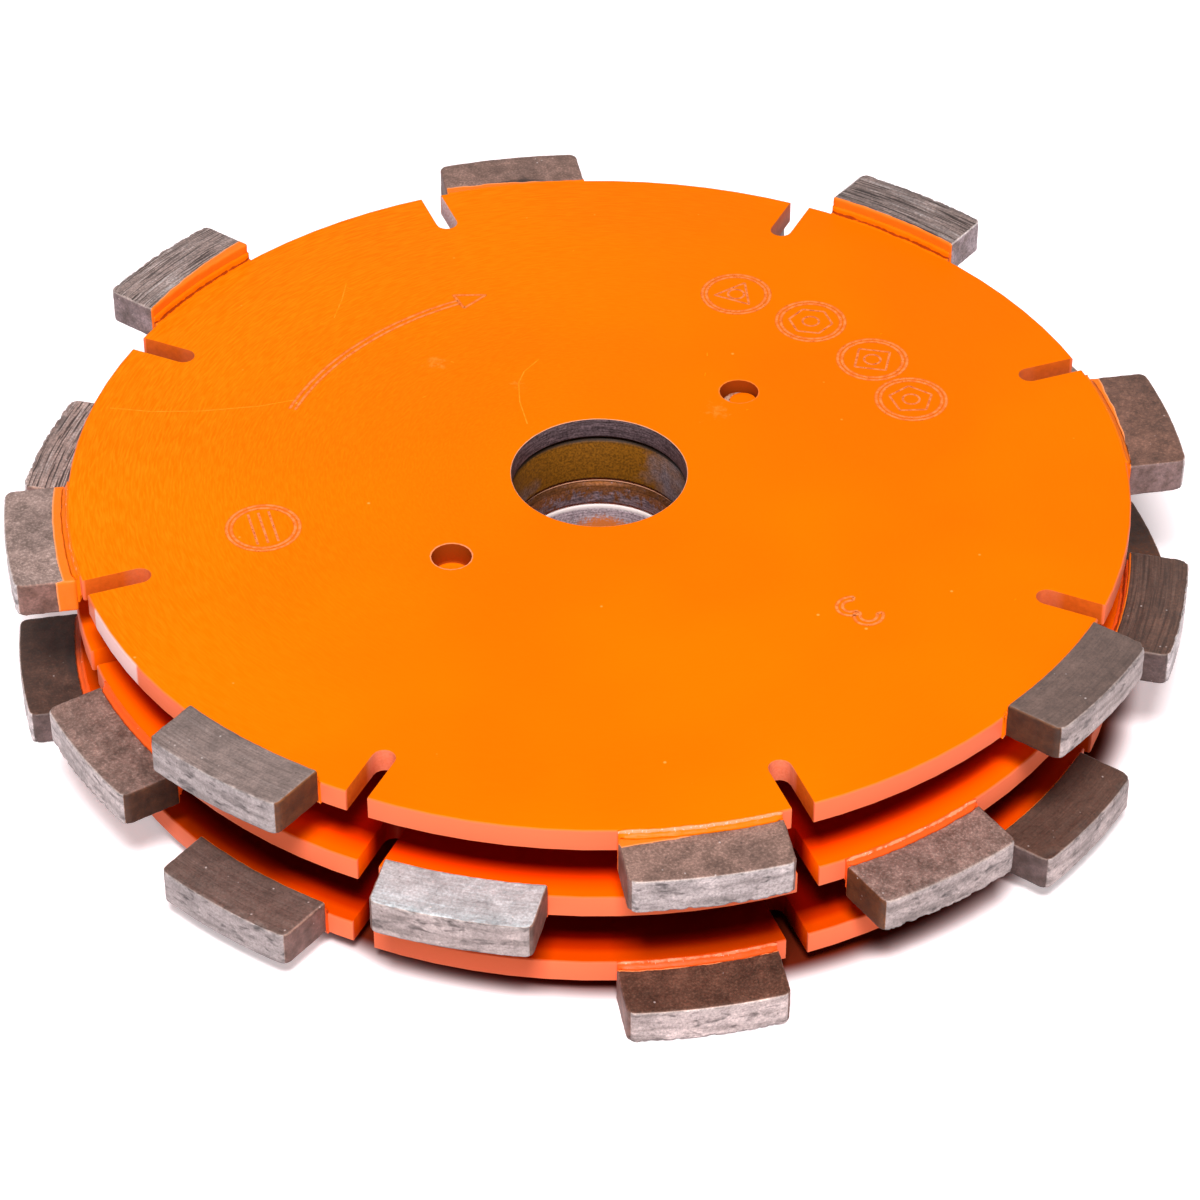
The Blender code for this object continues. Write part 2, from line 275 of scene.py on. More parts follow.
    # a slot wall bare of paint, its pale lilac partly a painted highlight
    patchX, patchY, patchSize = look["barePatchAndHighlight"]
    toPatch = addNode(tree, "ShaderNodeVectorMath",
                      {0: place, 1: (patchX, patchY, 25.0)}, operation="DISTANCE")
    lostPaintAndHighlight = addNode(tree, "ShaderNodeMath",
                   {0: toPatch.outputs["Value"], 1: patchSize}, operation="LESS_THAN")
    lilacTone = addNode(tree, "ShaderNodeMapRange", {0: chipped, 1: 0.35, 2: 0.6, 3: 1.0, 4: 0.45})
    for limit in (inner, lilacTone):
        lostPaintAndHighlight = addNode(tree, "ShaderNodeMath", {0: lostPaintAndHighlight, 1: limit}, operation="MULTIPLY")
    sameSide = addNode(tree, "ShaderNodeVectorMath", {0: place}, operation="ABSOLUTE")
    onLine = addNode(tree, "ShaderNodeMath",
                     {0: spot.outputs["X"], 1: spot.outputs["Y"]}, operation="MULTIPLY")
    onLine = addNode(tree, "ShaderNodeMath", {0: onLine, 1: 0.0}, operation="GREATER_THAN")
    sideways = addNode(tree, "ShaderNodeVectorMath", {0: sameSide, 1: (1, 1, 0)}, operation="MULTIPLY")
    pinPlace = layout["pinRadius"] / math.sqrt(2)
    toHole = addNode(tree, "ShaderNodeVectorMath", {0: sideways, 1: (pinPlace, pinPlace, 0.0)},
                     operation="DISTANCE")
    holeEdge = addNode(tree, "ShaderNodeMath", {0: ragged, 1: -0.3, 2: toHole.outputs["Value"]},
                       operation="MULTIPLY_ADD")
    burr = addNode(tree, "ShaderNodeMath", {0: holeEdge, 1: layout["pinHole"] - 0.15 + look["holeEdge"]},
                   operation="LESS_THAN")
    nearHole = addNode(tree, "ShaderNodeMapRange",
                       {0: spot.outputs["X"], 1: -1.0, 2: 1.0, 3: 1.0, 4: 0.25})
    flatFace = addNode(tree, "ShaderNodeMath", {0: 0.6, 1: inner}, operation="SUBTRACT", use_clamp=True)
    onFace = addNode(tree, "ShaderNodeMath", {0: spot.outputs["Z"], 1: 26.0}, operation="GREATER_THAN")
    for limit in (onLine, nearHole, flatFace, onFace):
        burr = addNode(tree, "ShaderNodeMath", {0: burr, 1: limit}, operation="MULTIPLY")
    for amount, name in ((bareEndAndReflection, "bareEndAndReflection"), (lostPaintAndHighlight, "lilac"), (burr, "burr")):
        paint = addNode(tree, "ShaderNodeMix", {0: amount, 6: paint, 7: hexColour(look[name])},
                        data_type="RGBA")
    # the bare pin end is patched with the holes' dark painted shade
    pinTop = addNode(tree, "ShaderNodeMath", {0: spot.outputs["Z"], 1: 24.85, 2: 0.17}, operation="COMPARE")
    facesUp = addNode(tree, "ShaderNodeMath", {0: tilt, 1: 0.3}, operation="GREATER_THAN")
    for limit in (inHole, facesUp):
        pinTop = addNode(tree, "ShaderNodeMath", {0: pinTop, 1: limit}, operation="MULTIPLY")
    pinTone = addNode(tree, "ShaderNodeMapRange", {0: chipped, 1: 0.4, 2: 0.55, 3: 0.0, 4: 1.0})
    pinColour = addNode(tree, "ShaderNodeMix",
                        {0: pinTone, 6: hexColour(look["holeWall"]), 7: hexColour(look["pinSteel"])},
                        data_type="RGBA")
    paint = addNode(tree, "ShaderNodeMix", {0: pinTop, 6: paint, 7: pinColour}, data_type="RGBA")

    # bare turned steel in the bore, with brown oil in places
    back = addNode(tree, "ShaderNodeMath", {0: xyz.outputs["Z"], 1: 0.0}, operation="LESS_THAN")
    bareWidth = addNode(tree, "ShaderNodeMapRange",
                        {0: back, 1: 0.0, 2: 1.0, 3: look["bareEdge"], 4: look["bareBack"]})
    fromBore = addNode(tree, "ShaderNodeMath", {0: radius, 1: -layout["boreRadius"]}, operation="ADD")
    paintEdge = addNode(tree, "ShaderNodeMath",
                        {0: ragged, 1: -0.12, 2: fromBore}, operation="MULTIPLY_ADD")
    bore = addNode(tree, "ShaderNodeMath", {0: paintEdge, 1: bareWidth}, operation="LESS_THAN")
    turning = addNode(tree, "ShaderNodeMapping", {"Vector": place, "Scale": (0.5, 0.5, 6.0)})
    turningLine = addNode(tree, "ShaderNodeTexNoise", {"Vector": turning, "Scale": 1.0, "Detail": 4.0})
    shade = addNode(tree, "ShaderNodeMapRange", {0: turningLine, 1: 0.35, 2: 0.68, 3: 0.42, 4: 1.35})
    steel = addNode(tree, "ShaderNodeVectorMath", {0: hexColour(look["steel"])[:3], "Scale": shade},
                    operation="SCALE")
    upper = addNode(tree, "ShaderNodeMapRange", {0: spot.outputs["Z"], 1: 17.0, 2: 22.0, 3: 1.0, 4: 0.62})
    steel = addNode(tree, "ShaderNodeVectorMath", {0: steel, "Scale": upper}, operation="SCALE")
    oilPlace = addNode(tree, "ShaderNodeMapping", {"Vector": place, "Scale": (1.2, 1.2, 0.8)})
    oilNoise = addNode(tree, "ShaderNodeTexNoise",
                       {"Vector": oilPlace, "Scale": 1.0, "Detail": 5.0, "Roughness": 0.7})
    upward = addNode(tree, "ShaderNodeMapRange", {0: spot.outputs["Z"], 1: 13.5, 2: 15.5, 3: -0.12, 4: 0.1})
    oilEdge = addNode(tree, "ShaderNodeMath", {0: oilNoise, 1: upward}, operation="ADD")
    oilTone = addNode(tree, "ShaderNodeMapRange", {0: oilEdge, 1: 0.40, 2: 0.52, 3: 0.0, 4: 0.85})
    oiled = addNode(tree, "ShaderNodeMath", {0: spot.outputs["Z"], 1: 20.0}, operation="LESS_THAN")
    oilSide = addNode(tree, "ShaderNodeMath", {0: oilTone, 1: oiled}, operation="MULTIPLY")
    steel = addNode(tree, "ShaderNodeMix",
                    {0: oilSide, 6: steel, 7: hexColour(look["oil"])}, data_type="RGBA")
    grit = addNode(tree, "ShaderNodeMapRange", {0: chipped, 1: 0.35, 2: 0.65, 3: 0.6, 4: 1.35})
    steel = addNode(tree, "ShaderNodeVectorMath", {0: steel, "Scale": grit}, operation="SCALE")
    # painted shade: the bare chamfers in the bore are made darker
    chamferShade = addNode(tree, "ShaderNodeMapRange", {0: tilt, 1: 0.1, 2: 0.5, 3: 1.0, 4: 0.3})
    steel = addNode(tree, "ShaderNodeVectorMath", {0: steel, "Scale": chamferShade}, operation="SCALE")
    gleamFrom = addNode(tree, "ShaderNodeMapRange", {0: back, 1: 0.0, 2: 1.0, 3: 0.04, 4: 0.62})
    gleam = addNode(tree, "ShaderNodeMath", {0: fromBore, 1: gleamFrom}, operation="GREATER_THAN")
    steel = addNode(tree, "ShaderNodeMix",
                    {0: gleam, 6: steel, 7: hexColour(look["gleam"])}, data_type="RGBA")
    colour = addNode(tree, "ShaderNodeMix", {0: bore, 6: paint, 7: steel}, data_type="RGBA")
    tree.links.new(colour.outputs[2], shader.inputs["Base Color"])
    metal = addNode(tree, "ShaderNodeMath", {0: bore, 1: gleam}, operation="SUBTRACT", use_clamp=True)
    metal = addNode(tree, "ShaderNodeMath", {0: metal, 1: 0.45}, operation="MULTIPLY")
    tree.links.new(metal.outputs[0], shader.inputs["Metallic"])
    rough = addNode(tree, "ShaderNodeMapRange",
                    {0: drift, 1: 0.3, 2: 0.7, 3: look["roughness"], 4: look["roughness"] + 0.08})
    tree.links.new(rough.outputs[0], shader.inputs["Roughness"])

    peel = addNode(tree, "ShaderNodeTexNoise", {"Vector": place, "Scale": 1 / look["peel"], "Detail": 1.0})
    height = addNode(tree, "ShaderNodeMath", {0: grainAmount, 1: 0.8, 2: peel}, operation="MULTIPLY_ADD")
    height = addNode(tree, "ShaderNodeMath", {0: turningLine, 1: bore, 2: height}, operation="MULTIPLY_ADD")
    bump = addNode(tree, "ShaderNodeBump", {"Strength": 0.15, "Distance": 0.05 * mm, "Height": height})
    tree.links.new(bump.outputs[0], shader.inputs["Normal"])
    return material


# enamel laid over a weld: thick and smooth in the corner, with a dark ragged line where the weld stops
# and a pale, chipped bead where the rim's sharp edge wears through, partly a painted highlight on that edge
coatLook = {
    "colour": "#FF7800", "low": "#F65C1E", "deep": "#942C04", "bead": "#FFA076", "chip": "#FFBCA4",
    "roughness": 0.4,
}


def coatMaterial():
    look = coatLook
    material, tree, shader = startMaterial(
        "enamelOverWeld", **{"Specular IOR Level": 0.12, "Roughness": look["roughness"]})
    place = placeInMm(tree)
    groove = addNode(tree, "ShaderNodeAttribute", attribute_name="groove").outputs["Fac"]
    bead = addNode(tree, "ShaderNodeAttribute", attribute_name="bead").outputs["Fac"]
    ragged = addNode(tree, "ShaderNodeTexNoise", {"Vector": place, "Scale": 1.1, "Detail": 4.0})
    fine = addNode(tree, "ShaderNodeTexNoise", {"Vector": place, "Scale": 3.2, "Detail": 3.0})
    grooveEdge = addNode(tree, "ShaderNodeMath", {0: ragged, 1: 1.3, 2: groove}, operation="MULTIPLY_ADD")
    dark = addNode(tree, "ShaderNodeMapRange", {0: grooveEdge, 1: 1.1, 2: 1.5, 3: 0.0, 4: 0.9})
    level = addNode(tree, "ShaderNodeSeparateXYZ", {0: place}).outputs["Z"]
    # painted shade: the coat on the lower discs is redder
    low = addNode(tree, "ShaderNodeMapRange", {0: level, 1: 22.0, 2: 18.0, 3: 0.0, 4: 1.0})
    # the pale bead and its chips: worn paint, partly a painted highlight on the edge
    beadEdge = addNode(tree, "ShaderNodeMath", {0: ragged, 1: 1.4, 2: bead}, operation="MULTIPLY_ADD")
    light = addNode(tree, "ShaderNodeMapRange", {0: beadEdge, 1: 1.45, 2: 1.75, 3: 0.0, 4: 0.75})
    chipEdge = addNode(tree, "ShaderNodeMath", {0: bead, 1: 0.12, 2: fine}, operation="MULTIPLY_ADD")
    chips = addNode(tree, "ShaderNodeMapRange", {0: chipEdge, 1: 0.74, 2: 0.78, 3: 0.0, 4: 0.9})
    colour = hexColour(look["colour"])
    for amount, name in ((low, "low"), (dark, "deep"), (light, "bead"), (chips, "chip")):
        colour = addNode(tree, "ShaderNodeMix", {0: amount, 6: colour, 7: hexColour(look[name])},
                         data_type="RGBA")
    tree.links.new(colour.outputs[2], shader.inputs["Base Color"])
    bump = addNode(tree, "ShaderNodeBump", {"Strength": 0.3, "Distance": 0.1 * mm, "Height": ragged})
    tree.links.new(bump.outputs[0], shader.inputs["Normal"])
    return material


# sintered bronze and iron powder with diamond grit, pressed hot in a graphite mould: matt, finely
# speckled brown as pressed, grey and streaked where it was ground, enamel over its welded root
sinterLook = {
    "outer": "#A8928C", "outerDeep": "#4A3B38", "outerHigh": "#D0C2C0",
    "inner": "#9A8078", "innerDark": "#775F56", "innerLight": "#BBA49C",
    "crown": "#D0C7C8", "crownMid": "#AAA1A1", "crownDark": "#5E5657",
    "end": "#9A878A", "endDark": "#745F58",
    "grit": "#F2E2DE", "pit": "#2E211E",
    "paint": "#FF7800", "paintEdge": "#FFB27C", "warm": "#FFCEB0", "edgeWearAndHighlight": "#D8C6C0",
    "gritGap": 0.8,         # mm between diamond grains that show
    "furrow": (8.0, 0.28),  # mm, length and width of the grinding furrows
    "crownBand": (7.0, 1.1),    # mm, the same on the ground crown
    "crownStain": (1.9, 0.85),  # mm, and of the dark stains there
    "cloud": 6.5,           # mm
    "blotch": 1.9,          # mm
    "powder": 0.32,         # mm, coarser than the real powder, so that it shows
}


def sinterMaterial():
    look = sinterLook
    material, tree, shader = startMaterial("sinteredDiamondMatrix")
    local = addNode(tree, "ShaderNodeAttribute", attribute_name="local").outputs["Vector"]
    facing = addNode(tree, "ShaderNodeAttribute", attribute_name="facing").outputs["Vector"]
    seed, relief, tone, roughened, rootPaint, warmth, burnt = (
        addNode(tree, "ShaderNodeAttribute", attribute_name=name).outputs["Fac"]
        for name in ("seed", "relief", "tone", "roughened", "rootPaint", "warmth", "burnt"))
    face = addNode(tree, "ShaderNodeSeparateXYZ", {0: facing})

    # noises stretched along the segment, then even ones from coarse to fine
    stretched = {
        "furrow": {"Detail": 2.0, "Roughness": 0.6, "Distortion": 0.1},
        "crownBand": {"Detail": 3.0},
        "crownStain": {"Detail": 2.5, "Distortion": 0.4},
    }
    even = {
        "cloud": {"Detail": 1.0},
        "blotch": {"Detail": 5.0, "Roughness": 0.6},
        "powder": {"Detail": 3.0, "Roughness": 0.7},
    }
    noises = {}
    for name, settings in stretched.items():
        length, width = look[name]
        where = addNode(tree, "ShaderNodeMapping",
                        {"Vector": local, "Scale": (1 / length, 1 / width, 1 / width)})
        noises[name] = addNode(tree, "ShaderNodeTexNoise",
                               {"Vector": where, "W": seed, "Scale": 1.0, **settings},
                               noise_dimensions="4D")
    for name, settings in even.items():
        noises[name] = addNode(tree, "ShaderNodeTexNoise",
                               {"Vector": local, "W": seed, "Scale": 1 / look[name], **settings},
                               noise_dimensions="4D")
    furrows, bands, stains, clouds, blotches, powder = noises.values()
    grains = addNode(tree, "ShaderNodeTexVoronoi",
                     {"Vector": local, "W": seed, "Scale": 1 / look["gritGap"], "Randomness": 1.0},
                     voronoi_dimensions="4D")

    # outer side: furrowed, more on some segments than on others
    deepTone = addNode(tree, "ShaderNodeMapRange", {0: furrows, 1: 0.47, 2: 0.41, 3: 0.0, 4: 1.0})
    highTone = addNode(tree, "ShaderNodeMapRange", {0: furrows, 1: 0.54, 2: 0.66, 3: 0.0, 4: 1.0})
    outer = hexColour(look["outer"])
    for furrowTone, name in ((deepTone, "outerDeep"), (highTone, "outerHigh")):
        shown = addNode(tree, "ShaderNodeMath", {0: furrowTone, 1: roughened}, operation="MULTIPLY")
        outer = addNode(tree, "ShaderNodeMix", {0: shown, 6: outer, 7: hexColour(look[name])},
                        data_type="RGBA")

    # inner side: as pressed
    blotchTone = addNode(tree, "ShaderNodeMapRange", {0: blotches, 1: 0.25, 2: 0.6, 3: 0.0, 4: 1.0})
    inner = addNode(tree, "ShaderNodeMix",
                    {0: blotchTone, 6: hexColour(look["innerDark"]), 7: hexColour(look["inner"])},
                    data_type="RGBA")
    powderTone = addNode(tree, "ShaderNodeMapRange", {0: powder, 1: 0.50, 2: 0.72, 3: 0.0, 4: 0.5})
    inner = addNode(tree, "ShaderNodeMix", {0: powderTone, 6: inner, 7: hexColour(look["innerLight"])},
                    data_type="RGBA")

    # ends
    end = addNode(tree, "ShaderNodeMix",
                  {0: blotchTone, 6: hexColour(look["endDark"]), 7: hexColour(look["end"])},
                  data_type="RGBA")

    # crown: ground lengthwise, with dark pits and patches
    bandTone = addNode(tree, "ShaderNodeMapRange", {0: bands, 1: 0.38, 2: 0.56, 3: 0.0, 4: 1.0})
    crown = addNode(tree, "ShaderNodeMix",
                    {0: bandTone, 6: hexColour(look["crownMid"]), 7: hexColour(look["crown"])},
                    data_type="RGBA")
    crownMask = addNode(tree, "ShaderNodeMapRange", {0: stains, 1: 0.45, 2: 0.30, 3: 0.0, 4: 0.85})
    crown = addNode(tree, "ShaderNodeMix", {0: crownMask, 6: crown, 7: hexColour(look["crownDark"])},
                    data_type="RGBA")

    onOuter = addNode(tree, "ShaderNodeMapRange", {0: face.outputs["Z"], 1: 0.5, 2: 0.8, 3: 0.0, 4: 1.0})
    onCrown = addNode(tree, "ShaderNodeMapRange", {0: face.outputs["Y"], 1: 0.5, 2: 0.8, 3: 0.0, 4: 1.0})
    alongFace = addNode(tree, "ShaderNodeMath", {0: face.outputs["X"]}, operation="ABSOLUTE")
    onEnd = addNode(tree, "ShaderNodeMapRange", {0: alongFace, 1: 0.5, 2: 0.8, 3: 0.0, 4: 1.0})
    colour = addNode(tree, "ShaderNodeMix", {0: onOuter, 6: inner, 7: outer}, data_type="RGBA")
    colour = addNode(tree, "ShaderNodeMix", {0: onEnd, 6: colour, 7: end}, data_type="RGBA")
    colour = addNode(tree, "ShaderNodeMix", {0: onCrown, 6: colour, 7: crown}, data_type="RGBA")

    # powder speckle all over, then diamond grains and the pits that grains have left
    # paler edges along the crown and the ends: worn, and partly a painted highlight
    edgeWearAndHighlightSum = addNode(tree, "ShaderNodeMath", {0: face.outputs["Z"], 1: alongFace}, operation="MULTIPLY")
    upFace = addNode(tree, "ShaderNodeMath", {0: face.outputs["Z"]}, operation="ABSOLUTE")
    crownEdge = addNode(tree, "ShaderNodeMath", {0: upFace, 1: face.outputs["Y"]}, operation="MULTIPLY")
    crownEdge = addNode(tree, "ShaderNodeMath", {0: crownEdge, 1: 0.8}, operation="MULTIPLY")
    edgeWearAndHighlightSum = addNode(tree, "ShaderNodeMath", {0: edgeWearAndHighlightSum, 1: crownEdge}, operation="MAXIMUM")
    edgeWearAndHighlightSum = addNode(tree, "ShaderNodeMath", {0: stains, 1: 0.4, 2: edgeWearAndHighlightSum}, operation="MULTIPLY_ADD")
    edgeWearAndHighlight = addNode(tree, "ShaderNodeMapRange", {0: edgeWearAndHighlightSum, 1: 0.42, 2: 0.64, 3: 0.0, 4: 0.7})
    colour = addNode(tree, "ShaderNodeMix", {0: edgeWearAndHighlight, 6: colour, 7: hexColour(look["edgeWearAndHighlight"])},
                     data_type="RGBA")
    coarse = addNode(tree, "ShaderNodeMapRange", {0: roughened, 1: 0.0, 2: 1.0, 3: 1.4, 4: 2.8})
    speckle = addNode(tree, "ShaderNodeMath", {0: powder, 1: -0.5}, operation="ADD")
    speckle = addNode(tree, "ShaderNodeMath", {0: speckle, 1: coarse, 2: 1.0}, operation="MULTIPLY_ADD")
    speckle = addNode(tree, "ShaderNodeMath", {0: speckle, 1: 0.3}, operation="MAXIMUM")
    # painted shade: darker on faces that turn downward
    normal = addNode(tree, "ShaderNodeTexCoord").outputs["Normal"]
    down = addNode(tree, "ShaderNodeSeparateXYZ", {0: normal}).outputs["Z"]
    down = addNode(tree, "ShaderNodeMapRange", {0: down, 1: -0.15, 2: -0.6, 3: 1.0, 4: 0.4})
    mottle = addNode(tree, "ShaderNodeMapRange", {0: blotches, 1: 0.3, 2: 0.7, 3: 0.76, 4: 1.24})
    shading = addNode(tree, "ShaderNodeMapRange", {0: clouds, 1: 0.3, 2: 0.7, 3: 0.82, 4: 1.18})
    for factor in (tone, down, mottle, shading):
        speckle = addNode(tree, "ShaderNodeMath", {0: speckle, 1: factor}, operation="MULTIPLY")
    colour = addNode(tree, "ShaderNodeVectorMath", {0: colour, "Scale": speckle}, operation="SCALE")
    warmer = addNode(tree, "ShaderNodeVectorMath", {0: hexColour(look["warm"])[:3], 1: colour},
                     operation="MULTIPLY")
    colour = addNode(tree, "ShaderNodeMix", {0: warmth, 6: colour, 7: warmer}, data_type="RGBA",
                     clamp_factor=False)
    colour = addNode(tree, "ShaderNodeMix",
                     {0: burnt, 6: colour, 7: hexColour(look["pit"])}, data_type="RGBA")
    grain = addNode(tree, "ShaderNodeMapRange",
                    {0: grains.outputs["Distance"], 1: 0.22, 2: 0.09, 3: 0.0, 4: 1.0})
    pick = addNode(tree, "ShaderNodeSeparateColor", {0: grains.outputs["Color"]})
    bright = addNode(tree, "ShaderNodeMath", {0: pick.outputs[0], 1: 0.84}, operation="GREATER_THAN")
    dark = addNode(tree, "ShaderNodeMath", {0: pick.outputs[0], 1: 0.16}, operation="LESS_THAN")
    brightGrain, darkGrain = (addNode(tree, "ShaderNodeMath", {0: grain, 1: kind}, operation="MULTIPLY")
                              for kind in (bright, dark))
    gritAmount, pitAmount = (addNode(tree, "ShaderNodeMath", {0: kind, 1: 0.55}, operation="MULTIPLY")
                             for kind in (brightGrain, darkGrain))
    # painted shade: darker where the surface is sunk in furrows and chips
    deep = addNode(tree, "ShaderNodeMapRange", {0: relief, 1: 0.05, 2: 0.30, 3: 0.0, 4: 0.6})
    for amount, name in ((gritAmount, "grit"), (pitAmount, "pit"), (deep, "outerDeep")):
        colour = addNode(tree, "ShaderNodeMix", {0: amount, 6: colour, 7: hexColour(look[name])},
                         data_type="RGBA")

    # enamel over the root, as far as rootPaint is above 0, with a thin pale edge
    fuzz = addNode(tree, "ShaderNodeMath", {0: powder, 1: 0.12, 2: rootPaint}, operation="MULTIPLY_ADD")
    painted = addNode(tree, "ShaderNodeMapRange", {0: fuzz, 1: 0.03, 2: 0.09, 3: 0.0, 4: 1.0})
    inside = addNode(tree, "ShaderNodeMapRange", {0: fuzz, 1: 0.16, 2: 0.30, 3: 0.55, 4: 0.0})
    paint = addNode(tree, "ShaderNodeMix",
                    {0: inside, 6: hexColour(look["paint"]), 7: hexColour(look["paintEdge"])},
                    data_type="RGBA")
    colour = addNode(tree, "ShaderNodeMix", {0: painted, 6: colour, 7: paint}, data_type="RGBA")
    tree.links.new(colour.outputs[2], shader.inputs["Base Color"])

    unpainted = addNode(tree, "ShaderNodeMath", {0: 1.0, 1: painted}, operation="SUBTRACT")
    metal = addNode(tree, "ShaderNodeMapRange", {0: onCrown, 1: 0.0, 2: 1.0, 3: 0.25, 4: 0.5})
    metal = addNode(tree, "ShaderNodeMath", {0: metal, 1: unpainted}, operation="MULTIPLY")
    tree.links.new(metal.outputs[0], shader.inputs["Metallic"])
    rough = addNode(tree, "ShaderNodeMapRange", {0: powder, 1: 0.3, 2: 0.7, 3: 0.5, 4: 0.7})
    tree.links.new(rough.outputs[0], shader.inputs["Roughness"])

    furrowHeight = addNode(tree, "ShaderNodeMath", {0: furrows, 1: onOuter}, operation="MULTIPLY")
    furrowHeight = addNode(tree, "ShaderNodeMath", {0: furrowHeight, 1: roughened}, operation="MULTIPLY")
    height = addNode(tree, "ShaderNodeMath",
                     {0: powder, 1: 0.30, 2: furrowHeight}, operation="MULTIPLY_ADD")
    height = addNode(tree, "ShaderNodeMath", {0: brightGrain, 1: 0.25, 2: height}, operation="MULTIPLY_ADD")
    height = addNode(tree, "ShaderNodeMath", {0: height, 1: unpainted}, operation="MULTIPLY")
    bump = addNode(tree, "ShaderNodeBump", {"Strength": 0.8, "Distance": 0.15 * mm, "Height": height})
    tree.links.new(bump.outputs[0], shader.inputs["Normal"])
    return material


# turned steel, wiped with oil that has browned: fine rings round the bore, brown film in patches,
# painted shade and a black painted shadow in the upper joint, a painted highlight on the lower chamfer
# and a painted orange reflection low in the bore
steelLook = {
    "steel": "#A88E96", "light": "#D0BCC2", "film": "#885412", "jointShadow": "#1C120E", "chamfer": "#FFF0EC",
    "glow": "#FF8A30", "roughness": 0.5,
    "turning": 0.16,            # mm between turning marks
    "jointShadowFrom": 22.55,         # mm, level in the pack from which the painted shadow in the upper joint starts
    "reflectionPlace": (0.3, 11.4, 8.7), "reflectionSize": (3.6, 6.0, 1.7),     # mm, a painted reflection of the orange paint low in the bore
}


